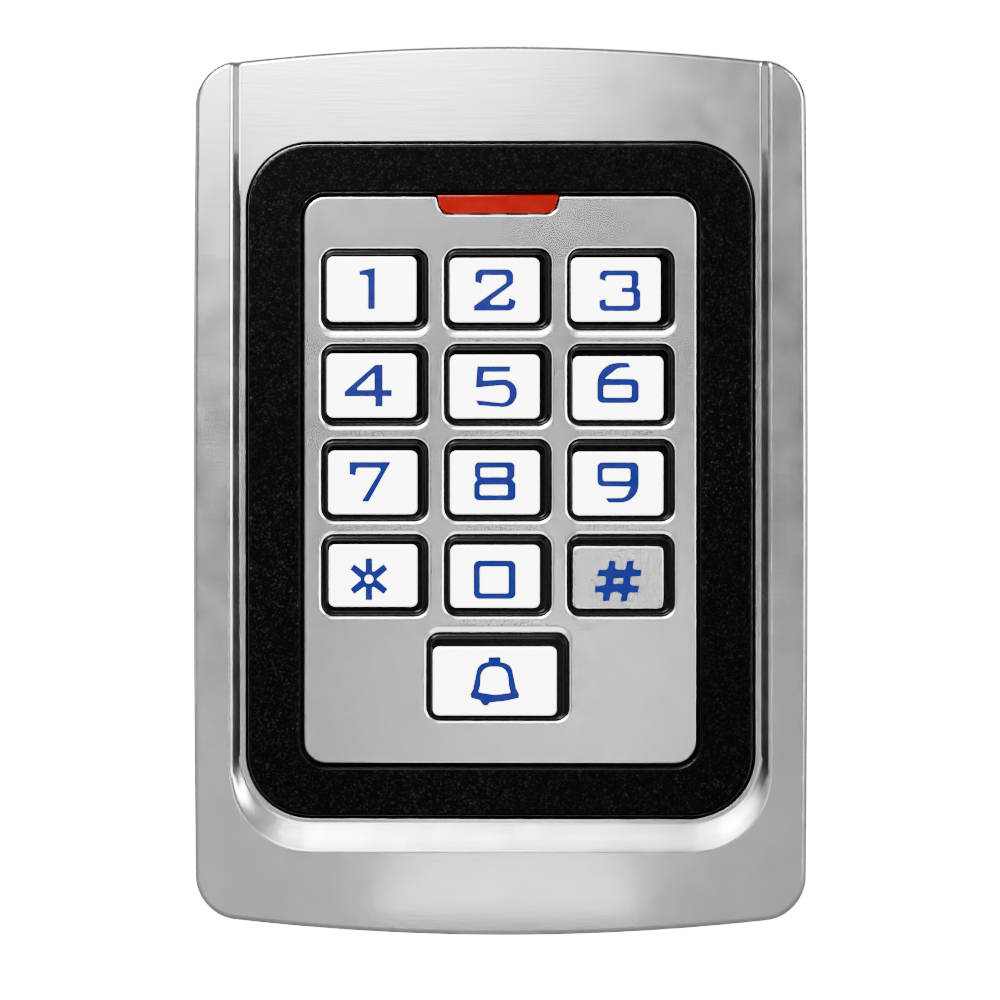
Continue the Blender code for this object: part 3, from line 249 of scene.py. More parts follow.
def plain_object(name, bm):
    bmesh.ops.recalc_face_normals(bm, faces=bm.faces)
    bm.transform(STAND_UP)
    if bm.calc_volume(signed=True) < 0:
        bmesh.ops.reverse_faces(bm, faces=bm.faces)
    mesh = bpy.data.meshes.new(name)
    bm.to_mesh(mesh)
    bm.free()
    obj = bpy.data.objects.new(name, mesh)
    bpy.context.scene.collection.objects.link(obj)
    return obj


def combined(obj, bm, operation):
    """The object with a solid cut from it or added to it."""
    helper = plain_object("helper", bm)
    modifier = obj.modifiers.new("combine", "BOOLEAN")
    modifier.operation = operation
    modifier.solver = "EXACT"
    modifier.object = helper
    depsgraph = bpy.context.evaluated_depsgraph_get()
    mesh = bpy.data.meshes.new_from_object(obj.evaluated_get(depsgraph))
    obj.modifiers.remove(modifier)
    bm = bmesh.new()
    bm.from_mesh(mesh)
    bmesh.ops.remove_doubles(bm, verts=bm.verts, dist=WELD)
    bmesh.ops.dissolve_degenerate(bm, edges=bm.edges, dist=WELD)
    bm.to_mesh(mesh)
    bm.free()
    obj.data = mesh
    bpy.data.objects.remove(helper)


def keep_flats_flat(mesh, front_normal=None):
    """Gives the corners of a flat face, or of a crowned front, that surface's exact normal."""
    flats = {}
    for face in mesh.polygons:
        if abs(face.normal.y) > 0.99999:
            flats.update({vertex: Vector((0.0, round(face.normal.y), 0.0)) for vertex in face.vertices})
        elif front_normal and face.normal.y < -0.97:
            for vertex in face.vertices:
                place = mesh.vertices[vertex].co
                normal = front_normal(place.x * 1000, place.z * 1000)
                if normal is not None:
                    flats[vertex] = normal
    normals = [corner.vector.copy() for corner in mesh.corner_normals]
    for loop in mesh.loops:
        flat = flats.get(loop.vertex_index)
        if flat is not None and normals[loop.index].dot(flat) > 0.85:
            normals[loop.index] = flat
    mesh.normals_split_custom_set(normals)


def finish_piece(obj, slot, nodes, body="housing", angle=40, front_normal=None, look=None):
    """Shades, paints and attaches a piece that stands for CAD nodes; the look is the slot's if not named."""
    obj.data.materials.clear()
    obj.data.materials.append(MATERIALS[look or slot])
    obj.data.shade_smooth()
    obj.data.set_sharp_from_angle(angle=math.radians(angle))
    keep_flats_flat(obj.data, front_normal)
    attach(obj, body)
    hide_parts(*nodes)


def piece(name, bm, slot, nodes, body="housing", angle=40, look=None):
    finish_piece(plain_object(name, bm), slot, nodes, body, angle, look=look)


# ---- materials
class Tree:
    """Short calls for one material's nodes."""

    def __init__(self, name):
        self.material = bpy.data.materials.new(name)
        self.material.use_nodes = True
        self.nodes = self.material.node_tree.nodes
        self.shader = self.nodes["Principled BSDF"]
        self.place = self.add("ShaderNodeTexCoord").outputs["Object"]

    def add(self, kind, inputs=None, **settings):
        node = self.nodes.new(kind)
        for key, value in settings.items():
            setattr(node, key, value)
        for key, value in (inputs or {}).items():
            self.put(node.inputs[key], value)
        return node

    def put(self, socket, value):
        if isinstance(value, bpy.types.NodeSocket):
            self.material.node_tree.links.new(value, socket)
        else:
            socket.default_value = value

    def set(self, **values):
        for key, value in values.items():
            self.put(self.shader.inputs[key.replace("_", " ")], value)

    def noise(self, scale, detail=3.0, stretch=(1.0, 1.0, 1.0)):
        at = self.add("ShaderNodeMapping", {"Vector": self.place, "Scale": stretch}).outputs[0]
        wanted = {"Vector": at, "Scale": scale, "Detail": detail}
        return self.add("ShaderNodeTexNoise", wanted).outputs["Fac"]

    def span(self, value, low, high, start=0.3, end=0.7):
        wanted = {"Value": value, "From Min": start, "From Max": end, "To Min": low, "To Max": high}
        return self.add("ShaderNodeMapRange", wanted).outputs["Result"]

    def mix(self, share, a, b, mode="MIX"):
        node = self.add("ShaderNodeMix", data_type="RGBA", blend_type=mode)
        self.put(node.inputs["Factor"], share)
        self.put(node.inputs["A"], a if isinstance(a, bpy.types.NodeSocket) else (*a, 1.0))
        self.put(node.inputs["B"], b if isinstance(b, bpy.types.NodeSocket) else (*b, 1.0))
        return node.outputs["Result"]

    def edges(self, low, high):
        """1 on convex edges, 0 elsewhere."""
        bend = self.add("ShaderNodeNewGeometry").outputs["Pointiness"]
        return self.span(bend, 0.0, 1.0, low, high)

    def below(self, front):
        """1 on what lies behind a flat front at this height in millimetres, 0 on the front itself; it masks
        a painted highlight.
        """
        depth = self.add("ShaderNodeSeparateXYZ", {"Vector": self.place}).outputs["Y"]
        return self.span(depth, 0.0, 1.0, (0.004 - front) / 1000, (0.05 - front) / 1000)

    def bump(self, height, distance):
        return self.add("ShaderNodeBump", {"Height": height, "Distance": distance}).outputs["Normal"]


def shade(colour, factor):
    return tuple(min(1.0, channel * factor) for channel in colour)


def surface(name, colour, rough, metal=0.0, spread=0.06, rough_spread=0.05, blotch=60.0, grain=2500.0,
            stretch=(1.0, 1.0, 1.0), depth=0.00001, wear_and_highlight=None, worn_from=0.52, front=None,
            **constants):
    """General surface: blotches of colour, fine grain in bump and roughness, and a lighter colour mixed in:
    on rubbed edges where no front is given, and as a painted highlight on all that lies behind the front
    where one is.
    """
    tree = Tree(name)
    large = tree.noise(blotch, 4.0)
    fine = tree.noise(grain, 3.0, stretch)
    base = tree.mix(tree.span(large, 0.0, 1.0), shade(colour, 1 - spread), shade(colour, 1 + spread))
    base = tree.mix(tree.span(fine, 0.0, 0.35), base, shade(colour, 1 + 2 * spread))
    # a lighter colour mixed in: on rubbed edges without a front; with a front, as a painted highlight on all
    # that lies behind it
    if wear_and_highlight is not None:
        rims = tree.edges(worn_from, worn_from + 0.1) if front is None else tree.below(front)
        wear_and_highlight_share = tree.add("ShaderNodeMath", {0: rims, 1: tree.span(large, 0.4, 1.0)},
                        operation="MULTIPLY").outputs[0]
        base = tree.mix(wear_and_highlight_share, base, wear_and_highlight)
    roughness = tree.span(tree.noise(blotch * 6, 5.0), rough - rough_spread, rough + rough_spread)
    tree.set(Base_Color=base, Roughness=roughness, Metallic=metal, Normal=tree.bump(fine, depth))
    tree.set(**constants)
    return tree.material


def bezel_speckle():
    """Black enamel with fine metal flakes, each tilted its own way."""
    tree = Tree("bezel_speckle")
    cells = tree.add("ShaderNodeTexVoronoi", {"Vector": tree.place, "Scale": 4800.0})
    flake = tree.add("ShaderNodeSeparateColor", {"Color": cells.outputs["Color"]}).outputs
    chosen = tree.span(flake["Red"], 0.0, 1.0, 0.70, 1.0)
    chosen = tree.add("ShaderNodeMath", {0: chosen, 1: tree.span(tree.noise(90.0), 0.5, 1.0)},
                      operation="MULTIPLY").outputs[0]
    tilt = tree.add("ShaderNodeVectorMath", {0: cells.outputs["Color"], 1: (-0.5, -0.5, -0.5)},
                    operation="ADD").outputs[0]
    amount = tree.add("ShaderNodeMath", {0: chosen, 1: 0.5}, operation="MULTIPLY").outputs[0]
    tilt = tree.add("ShaderNodeVectorMath", {0: tilt, "Scale": amount}, operation="SCALE").outputs[0]
    normal = tree.add("ShaderNodeNewGeometry").outputs["Normal"]
    leaning = tree.add("ShaderNodeVectorMath", {0: normal, 1: tilt}, operation="ADD").outputs[0]
    leaning = tree.add("ShaderNodeVectorMath", {0: leaning}, operation="NORMALIZE").outputs[0]
    base = tree.mix(chosen, (0.0013, 0.0013, 0.0016), (0.008, 0.008, 0.009))
    tree.set(Base_Color=base, Roughness=tree.span(tree.noise(700.0), 0.30, 0.40), Normal=leaning)
    tree.set(Metallic=1.0, Specular_IOR_Level=0.1)
    return tree.material


def enamel_blue():
    """Blue enamel, with painted shade: darker at the sunken edge of a stroke than in its middle."""
    tree = Tree("enamel_blue")
    # painted shade: the stroke's sunken edge is mixed darker
    shaded_rim = tree.edges(0.46, 0.52)
    base = tree.mix(shaded_rim, (0.0001, 0.0005, 0.0080), (0.0001, 0.0010, 0.0270))
    base = tree.mix(tree.span(tree.noise(400.0), 0.0, 0.35), base, (0.0001, 0.0016, 0.0360))
    tree.set(Base_Color=base, Roughness=tree.span(tree.noise(900.0), 0.30, 0.42),
             Normal=tree.bump(tree.noise(1400.0), 0.00001))
    tree.set(Specular_IOR_Level=0.08)
    return tree.material


def lens_material():
    tree = Tree("lens_red")
    base = tree.mix(tree.span(tree.noise(260.0), 0.0, 1.0), (0.042, 0.0, 0.0), (0.052, 0.0001, 0.0001))
    tree.set(Base_Color=base, Roughness=tree.span(tree.noise(900.0), 0.14, 0.22),
             Normal=tree.bump(tree.noise(1800.0), 0.000004))
    tree.set(Emission_Color=(1.0, 0.0, 0.0, 1.0), Emission_Strength=0.02, Specular_IOR_Level=0.1)
    return tree.material


ZINC = (0.45, 0.448, 0.435)
MATERIALS = {
    "satin_zinc": surface("satin_zinc_look", ZINC, 0.20, 1.0, 0.05, 0.02, 45.0, 3200.0, (0.06, 1.0, 1.0),
                          0.000004, (0.66, 0.66, 0.64), 0.60),
    # plate: a painted highlight in near white on all that lies behind its front, chiefly the rounded edges
    # of the key windows
    "plate_satin": surface("plate_satin_look", (0.32, 0.318, 0.315), 0.21, 1.0, 0.03, 0.012, 90.0, 4200.0,
                           depth=0.000003, wear_and_highlight=(0.95, 0.95, 0.94), front=PLATE_FRONT),
    "bright_key_metal": surface("bright_key_look", (0.97, 0.97, 0.965), 0.22, 0.25, 0.02, 0.03, 150.0,
                                2600.0, depth=0.000001),
    # the '#' cap: a darker, shaded copy of the key metal, and a painted near-white highlight on all that
    # lies behind its front, its rounded edge and the lip round its legend
    "shaded_key_metal": surface("shaded_key_look", (0.40, 0.40, 0.40), 0.26, 1.0, 0.04, 0.03, 300.0, 4200.0,
                               depth=0.000006, wear_and_highlight=(0.98, 0.98, 0.98), front=CAP_FRONT),
    "legend_blue": enamel_blue(),
    "bezel_black": bezel_speckle(),
    "lens_red": lens_material(),
    "rubber_black": surface("rubber_look", (0.0003, 0.0003, 0.00035), 0.20, 0.0, 0.2, 0.04, 300.0, 4000.0,
                            depth=0.0000015, Specular_IOR_Level=0.05),
    "cover_black": surface("cover_look", (0.022, 0.022, 0.023), 0.5, 0.0, 0.12, 0.08, 90.0, 1500.0,
                           depth=0.00003, wear_and_highlight=(0.05, 0.05, 0.05)),
    "bracket_steel": surface("bracket_look", (0.55, 0.56, 0.57), 0.34, 1.0, 0.12, 0.10, 130.0, 1800.0,
                             (1.0, 1.0, 0.15), 0.00001, (0.75, 0.75, 0.74)),
    "screw_steel": surface("screw_look", (0.60, 0.60, 0.60), 0.26, 1.0, 0.08, 0.07, 400.0, 5000.0,
                           depth=0.000005, wear_and_highlight=(0.8, 0.8, 0.8)),
    "board_green": surface("board_look", (0.01, 0.12, 0.045), 0.4, 0.0, 0.25, 0.06, 200.0, 1500.0),
    "component_black": surface("component_look", (0.018, 0.018, 0.02), 0.5, 0.0, 0.15, 0.08),
    "coil_copper": surface("coil_look", (0.70, 0.30, 0.12), 0.32, 1.0, 0.15, 0.08, 100.0, 4000.0,
                           (0.1, 1.0, 1.0), 0.00004),
    "header_green": surface("header_look", (0.03, 0.30, 0.11), 0.45, 0.0, 0.1, 0.06),
    "led_white": surface("led_look", (0.85, 0.84, 0.75), 0.3, 0.0, 0.05, 0.05),
    "clear_plastic": surface("clear_look", (0.70, 0.74, 0.74), 0.12, 0.0, 0.04, 0.05,
                             Transmission_Weight=0.6),
}


# ---- front case
def crown(x, y):
    return CASE_DEPTH - CROWN_ACROSS * (2 * x / CASE_WIDTH) ** 2 - CROWN_ALONG * (2 * y / CASE_HEIGHT) ** 2


def step_shape(share, grow):
    """Half width, low edge and corner radius of the step's line at a share of its width, grown a little."""
    return (STEP_X + share * STEP_SLOPE + grow, STEP_Y - share * CHIN_SLOPE - grow,
            STEP_R + share * STEP_SLOPE + grow)


def inside_step(x, y, share, grow):
    half, low, radius = step_shape(share, grow)
    into = max(abs(x) - (half - radius), 0.0)
    return abs(x) < half and y > low + radius - math.sqrt(max(radius ** 2 - into ** 2, 0.0))


def crown_normal(x, y):
    """The crowned front's normal in the row frame, or None on the step."""
    if inside_step(x, y, 1.0, TOP_BLEND - 0.02) and not inside_step(x, y, 0.0, 0.02 - FOOT_BLEND):
        return None
    across = 2 * CROWN_ACROSS * (2 / CASE_WIDTH) ** 2 * x
    along = 2 * CROWN_ALONG * (2 / CASE_HEIGHT) ** 2 * y
    return Vector((across, -1.0, along)).normalized()


def rise(distance, width):
    """Height above the foot, as a share of the step: a line with a rounded foot and a rounded top."""
    def ramp(d, blend):
        if d <= -blend:
            return 0.0
        return d if d >= blend else (d + blend) ** 2 / (4 * blend)
    return (ramp(distance, FOOT_BLEND) - ramp(distance - width, TOP_BLEND)) / width


STEP_ROWS = [(0.0, FOOT_BLEND * e) for e in (-1.0, -0.6, -0.2, 0.2, 0.6, 1.0)] + [(0.5, 0.0)]
STEP_ROWS += [(1.0, TOP_BLEND * e) for e in (-1.0, -0.6, -0.2, 0.2, 0.6, 1.0)]


def case_outline(inset, stations=()):
    """Outline of the case this far inside its surface, with the same number of points at any inset."""
    half_x = CASE_WIDTH / 2 - SIDE_BULGE - inset
    half_y = CASE_HEIGHT / 2 - END_BULGE - inset
    radius = max(CASE_CORNER_R - inset, EDGE_R)
    flat_x, flat_y = half_x - radius, half_y - radius
    arc = [math.pi / 2 * i / 14 for i in range(15)]
    upper = {round(a, 9) for a in arc}
    reference = CASE_CORNER_R - EDGE_R
    level = {round(x, 9) for x in stations if x <= CASE_WIDTH / 2 - SIDE_BULGE - CASE_CORNER_R}
    for x in set(stations) - level:
        over = x - (CASE_WIDTH / 2 - SIDE_BULGE - CASE_CORNER_R)
        if over > 1e-6:
            upper.add(round(math.acos(over / reference), 9))
    upper = sorted(upper)
    tops = sorted({round(36.0 * i / 30, 9) for i in range(-30, 31)} | level | {-x for x in level})
    path = [(half_x, -flat_y + 2 * flat_y * i / 60) for i in range(60)]
    path += [(flat_x + radius * math.cos(a), flat_y + radius * math.sin(a)) for a in upper[:-1]]
    path += [(x, half_y) for x in tops[::-1]]
    path += [(-flat_x - radius * math.cos(a), flat_y + radius * math.sin(a)) for a in upper[-2::-1]]
    path += [(-half_x, flat_y - 2 * flat_y * i / 60) for i in range(1, 60)]
    path += [(-flat_x - radius * math.cos(a), -flat_y - radius * math.sin(a)) for a in arc[:-1]]
    path += [(-flat_x + 2 * flat_x * i / 60, -half_y) for i in range(61)]
    path += [(flat_x + radius * math.cos(a), -flat_y - radius * math.sin(a)) for a in arc[-2:0:-1]]
    points = []
    for x, y in path:
        across, along = x / half_x, y / half_y
        points.append(Vector((x + SIDE_BULGE * across * (1 - along ** 2),
                              y + END_BULGE * along * (1 - across ** 2))))
    return points


def front_height(x, y, top_line):
    """Height of the outer edge: lowered between the step's lines along the top edge."""
    if y < top_line:
        return crown(x, y)
    return crown(x, y) - STEP_DEPTH * (1 - rise(abs(x) - STEP_X, STEP_SLOPE))


def step_line(share, grow, top):
    """The step's line from its upper right end to its upper left end; top gives y where it ends."""
    half, low, radius = step_shape(share, grow)
    right = [(half, top(half) + (low + radius - top(half)) * i / 70) for i in range(71)]
    right += [(half - radius + radius * math.cos(a), low + radius - radius * math.sin(a))
              for a in (math.pi / 2 * i / 18 for i in range(1, 19))]
    flat = half - radius
    level = [(flat - 2 * flat * i / 40, low) for i in range(1, 40)]
    return right + level + [(-x, y) for x, y in right[::-1]]


def make_front_case():
    stations = [step_shape(share, grow)[0] for share, grow in STEP_ROWS]
    edge = case_outline(EDGE_R, stations)

    def top(x):
        return min((p for p in edge if p.y > 0), key=lambda p: abs(p.x - x)).y

    lip = 0.22
    gap_w, gap_h = BEZEL[0] + 2 * BEZEL_GAP, BEZEL[1] + 2 * BEZEL_GAP
    opening = divided(rect(gap_w, gap_h, BEZEL[2] + BEZEL_GAP, (0.0, KEYPAD_Y), math.radians(4)), 1.5)
    inner = offset(opening, lip)
    heights, points, edges = [], [], []

    def add_line(line, closed, height):
        start = len(points)
        points.extend(Vector((x, y)) for x, y in line)
        heights.extend(height(i, x, y) for i, (x, y) in enumerate(line))
        count = len(line)
        edges.extend((start + i, start + (i + 1) % count) for i in range(count if closed else count - 1))
        return start

    add_line(edge, True, lambda i, x, y: front_height(x, y, 50.0))
    inner_start = add_line(inner, True, lambda i, x, y: crown(x, y) - STEP_DEPTH)
    foot, head = step_line(0.0, 0.0, top), step_line(1.0, 0.0, top)
    widths = [math.dist(a, b) for a, b in zip(foot, head)]
    widths = [STEP_SLOPE if abs(foot[i][0]) > STEP_X - 0.001 else w for i, w in enumerate(widths)]
    for share, grow in STEP_ROWS:
        line = step_line(share, grow, top)
        add_line(line, False, lambda i, x, y, s=share, g=grow:
                 crown(x, y) - STEP_DEPTH * (1 - rise(s * widths[i] + g, widths[i])))
    grid_x, grid_y = 2.9, 2.85      # points on the open front, which give it its crown
    last_x, last_y, bulge_y, most_corner = 39.6, 56.2, 2.3, 0.86
    from_bezel, from_foot, from_top = 0.9, 0.7, 0.8
    for i in range(-14, 15):
        for j in range(-21, 22):
            x, y = grid_x * i, grid_y * j
            across, along = x / 41.0, y / 59.8
            if abs(x) > last_x or abs(y) > last_y + bulge_y * (1 - across ** 2):
                continue
            if abs(across * along) > most_corner:
                continue
            if abs(x) < gap_w / 2 + from_bezel and abs(y - KEYPAD_Y) < gap_h / 2 + from_bezel:
                continue
            floor = inside_step(x, y, 0.0, -from_foot)
            if floor or not inside_step(x, y, 1.0, from_top):
                points.append(Vector((x, y)))
                heights.append(crown(x, y) - (STEP_DEPTH if floor else 0.0))

    out, _, faces, origins, _, _ = delaunay_2d_cdt(points, edges, [], 1, 1e-5, True)
    bm = bmesh.new()
    made, verts = {}, []
    for co, sources in zip(out, origins):
        height = heights[sources[0]] if sources else crown(co.x, co.y) - STEP_DEPTH
        verts.append(bm.verts.new((co.x, co.y, height)))
        made.update({source: verts[-1] for source in sources})
    for face in faces:
        centre = sum((out[i] for i in face), Vector((0.0, 0.0))) / len(face)
        if not contains(inner, *centre):
            bm.faces.new([verts[i] for i in face])
    for vert in [v for v in bm.verts if not v.link_faces]:
        bm.verts.remove(vert)

    rows = [[made[i] for i in range(len(edge))]]
    for inset, sink in quarter(EDGE_R, 7)[1:]:
        line = case_outline(inset, stations)
        rows.append([bm.verts.new((p.x, p.y, rows[0][i].co.z - sink)) for i, p in enumerate(line)])
    side = case_outline(0.0, stations)
    for share in (0.3, 0.65):
        rows.append([bm.verts.new((p.x, p.y, rows[-1][i].co.z * (1 - share) + (CASE_RIM + 0.4) * share))
                     for i, p in enumerate(side)])
    for inset, sink in quarter(0.4, 3)[::-1]:
        rows.append(ring_of(bm, case_outline(inset, stations), CASE_RIM + sink))
    for inset, z in ((REAR_WALL - 0.2, CASE_RIM), (REAR_WALL, CASE_RIM + 0.2), (REAR_WALL, LEDGE_Z),
                     (SIDE_WALL, LEDGE_Z), (SIDE_WALL, INNER_FACE)):
        rows.append(ring_of(bm, case_outline(inset, stations), z))
    for lower, upper in zip(rows, rows[1:]):
        wall(bm, lower, upper)
    lips = [[made[inner_start + i] for i in range(len(inner))]]
    for inset, sink in quarter(lip, 3)[1:]:
        line = offset(opening, inset)
        lips.append([bm.verts.new((p.x, p.y, lips[0][i].co.z - sink)) for i, p in enumerate(line)])
    lips.append(ring_of(bm, opening, INNER_FACE))
    for lower, upper in zip(lips, lips[1:]):
        wall(bm, lower, upper)
    fill(bm, [rows[-1], lips[-1]])
    case = plain_object("case_shell", bm)
    head_r, shaft_r, head_depth = 3.05, 1.55, 2.2
    bore = revolve([(head_r, -1.0), (head_r, head_depth), (shaft_r, head_depth), (shaft_r, 8.4)])
    point_up(bore)
    combined(case, bore, "DIFFERENCE")
    finish_piece(case, "satin_zinc", ["front_case"], front_normal=crown_normal)


# ---- bezel, plate, lens
def make_bezel():
    middle = (0.0, KEYPAD_Y)
    opening = (PLATE[0] + 2 * PLATE_GAP, PLATE[1] + 2 * PLATE_GAP, PLATE[2] + PLATE_GAP)

    outline = divided(rect(*BEZEL, middle, math.radians(5)), 3.0)
    window = divided(rect(*opening, middle), 3.0)
    back, flange_front, seat = 16.0, 17.2, 19.2
    flange, shelf = 1.6, 1.25
    edge = quarter(0.42, 5)[::-1]

    bm = bmesh.new()
    outer_levels = [(back, flange), (flange_front, flange), (flange_front, 0.0)]
    outer_levels += [(BEZEL_FRONT - sink, -inset) for inset, sink in edge]
    inner_levels = [(back, -shelf), (seat, -shelf), (seat, 0.0)]
    inner_levels += [(BEZEL_FRONT - sink, inset) for inset, sink in edge]
    outer = tower(bm, [(z, offset(outline, grow)) for z, grow in outer_levels])
    hole = tower(bm, [(z, offset(window, grow)) for z, grow in inner_levels])
    fill_ends(bm, outer, hole)
    piece("bezel_frame", bm, "bezel_black", ["bezel_ring"])


def lens_corners(grow):
    half, low, radius, taper = LENS_WIDTH / 2 + grow, LENS_TOP - LENS_HEIGHT - grow, 1.5 + grow, 0.6
    return [(LENS_X + half, LENS_TOP), (LENS_X + half - taper, low, radius),
            (LENS_X - half + taper, low, radius), (LENS_X - half, LENS_TOP)]


def make_lens():
    outline = rounded(lens_corners(0.0)[::-1])
    bm = slab(outline, [], PLATE_BACK, PLATE_FRONT + 0.1, 0.0, 0.2)
    piece("lens_window", bm, "lens_red", ["status_lens"], angle=50)


# for each row of keys, the width of its windows' rounded edge above and below
EDGE_WIDTHS = [(0.35, 1.15), (0.35, 0.72), (0.5, 0.55), (0.72, 0.45), (1.2, 0.4)]
KEYS = {  # row, middle x and y of the cap, its width and height
    "1": (0, -17.3, 27.1, 11.95, 8.7), "2": (0, -0.72, 26.95, 12.0, 8.6), "3": (0, 15.6, 27.0, 12.0, 8.55),
    "4": (1, -17.3, 14.1, 12.0, 8.55), "5": (1, -0.7, 13.97, 12.0, 8.5), "6": (1, 15.9, 13.75, 12.1, 8.5),
    "7": (2, -17.15, 1.05, 11.9, 8.5), "8": (2, -0.68, 1.05, 12.0, 8.5), "9": (2, 15.9, 0.9, 12.1, 8.5),
    "star": (3, -17.1, -11.5, 11.85, 8.35), "0": (3, -0.65, -11.6, 11.95, 8.4),
    "hash": (3, 15.92, -11.7, 12.15, 8.35), "bell": (4, -0.7, -25.7, 16.6, 9.2),
}


def window_of(name):
    """Middle and size of a key's window."""
    order = list(KEYS)
    if name == "bell":
        return (KEYS_X, BELL_ROW), BELL_WINDOW
    index = order.index(name)
    return (KEYS_X + (index % 3 - 1) * COLUMN, TOP_ROW - index // 3 * ROW), WINDOW


def window_loop(name, grow_side, grow_top, grow_low):
    (x, y), (width, height) = window_of(name)
    radius = WINDOW_R + max(grow_side, min(grow_top, grow_low))
    return sides_rect(x - width / 2 - grow_side, x + width / 2 + grow_side,
                      y - height / 2 - grow_low, y + height / 2 + grow_top, radius)


def make_plate():
    half_x, half_y = PLATE[0] / 2, PLATE[1] / 2
    high, low = KEYPAD_Y + half_y, KEYPAD_Y - half_y
    radius, notch_r, depth = PLATE[2], 0.4, 0.55
    notch = lens_corners(0.15)
    corners = [(half_x, low, radius), (half_x, high, radius), (notch[0][0], high, notch_r), notch[1],
               notch[2], (notch[3][0], high, notch_r), (-half_x, high, radius), (-half_x, low, radius)]
    outer = rounded(corners, math.radians(7))
    rows = [(math.sin(a), depth * (1 - math.cos(a))) for a in (math.pi / 2 * i / 6 for i in range(7))]
    bm = bmesh.new()
    edge = [(PLATE_FRONT - sink, offset(outer, -inset)) for inset, sink in quarter(0.25, 3)]
    towers = [tower(bm, edge + [(PLATE_BACK, outer)])]
    for name, key in KEYS.items():
        above, below = EDGE_WIDTHS[key[0]]
        levels = [(PLATE_FRONT - sink, window_loop(name, 0.5 * (1 - s), above * (1 - s), below * (1 - s)))
                  for s, sink in rows]
        towers.append(tower(bm, levels + [(PLATE_BACK, window_loop(name, 0.0, 0.0, 0.0))]))
    fill_ends(bm, *towers)
    plate = plain_object("key_plate", bm)
    post, bore, sunk = 3.6, 2.2, 0.6
    posts = [slab(circle(post, at, 32), [circle(bore, at, 32)], MAT_BACK, PLATE_BACK + sunk)
             for at in POSTS]
    combined(plate, join(posts), "UNION")
    finish_piece(plate, "plate_satin", ["keypad_plate"])


# ---- mat, caps, legends
def collar_sides(name):
    """Inner edge of a key's collar: close round the cap, and never wider than the bead."""
    (x, y), (width, height) = window_of(name)
    _, cap_x, cap_y, cap_w, cap_h = KEYS[name]
    bead, room = 0.78, 0.16
    return (min(x - width / 2 + bead, cap_x - cap_w / 2 - room),
            max(x + width / 2 - bead, cap_x + cap_w / 2 + room),
            min(y - height / 2 + bead, cap_y - cap_h / 2 - room),
            max(y + height / 2 - bead, cap_y + cap_h / 2 + room))


def make_mat():
    bead = 0.42                     # height of a collar's round top
    bead_foot = PLATE_FRONT - 0.05 - bead
    half, height, radius, hole = 25.3, 74.1, 1.5, 4.4
    low, high = KEYPAD_Y - height / 2, KEYPAD_Y + height / 2
    notch_left, notch_right, notch_low, notch_r = LENS_X - 7.5, LENS_X + 7.5, high - 2.2, 0.4
    inset, collar_r, collar_bead_r = 0.06, 1.64, 0.7
    corners = [(half, low, radius), (half, high, radius), (notch_right, high, notch_r),
               (notch_right, notch_low), (notch_left, notch_low), (notch_left, high, notch_r),
               (-half, high, radius), (-half, low, radius)]
    outer = rounded(corners, math.radians(15))
    bm = bmesh.new()
    rims = tower(bm, [(MAT_BACK, outer), (MAT_FRONT, outer)])
    fronts, backs = [rims[1]], [rims[0]]
    for at in POSTS:
        rims = tower(bm, [(z, circle(hole, at, 32)) for z in (MAT_BACK, MAT_FRONT)])
        fronts.append(rims[1])
        backs.append(rims[0])
    for name, key in KEYS.items():
        (x, y), (wide, tall) = window_of(name)
        left, right, below, above = collar_sides(name)
        out = (x - wide / 2 + inset, x + wide / 2 - inset, y - tall / 2 + inset, y + tall / 2 - inset)
        levels = [(MAT_FRONT, sides_rect(*out, collar_r))]
        for share in (0.0, 0.07, 0.2, 0.35, 0.5, 0.65, 0.8, 0.93, 1.0):
            sides = [a + (b - a) * share for a, b in zip(out, (left, right, below, above))]
            swell = bead * math.sqrt(max(0.0, 1 - (2 * share - 1) ** 2))
            levels.append((bead_foot + swell, sides_rect(*sides, collar_r - collar_bead_r * share)))
        levels.append((MAT_FRONT, sides_rect(left, right, below, above, collar_r - collar_bead_r)))
        rings = tower(bm, levels)
        stem = tower(bm, [(z, circle(STEM_HOLE, key[1:3], 32)) for z in (MAT_FRONT, MAT_BACK)])
        fronts.append(rings[0])
        backs.append(stem[1])
        fill(bm, [rings[-1], stem[0]])
    fill(bm, fronts)
    fill(bm, backs)
    piece("rubber_mat", bm, "rubber_black", ["key_mat"], angle=60)


def glyph(corners, shift=(0.0, 0.0)):
    return rounded([(c[0] + shift[0], c[1] + shift[1], *c[2:]) for c in corners], math.radians(12))


def box_corners(left, top, right, bottom, radius):
    return [(left, top, radius), (right, top, radius), (right, bottom, radius), (left, bottom, radius)]


def star_loops():
    """Six square-ended arms round a hub with a hole."""
    angles = [90, 143.5, 216.5, 270, 323.5, 396.5]
    reach, half_arm, hub, middle = 2.85, 0.48, 1.05, (-0.55, -0.48)
    corners = []
    for index, degrees in enumerate(angles):
        along = Vector((math.cos(math.radians(degrees)), math.sin(math.radians(degrees))))
        side = Vector((-along.y, along.x)) * half_arm
        corners += [(*(along * reach - side), 0.12), (*(along * reach + side), 0.12)]
        following = angles[(index + 1) % 6] + (360 if index == 5 else 0)
        between = math.radians((degrees + following) / 2)
        corners.append((hub * math.cos(between), hub * math.sin(between), 0.15))
    return [glyph(corners, middle), circle(1.1, middle, 28)]


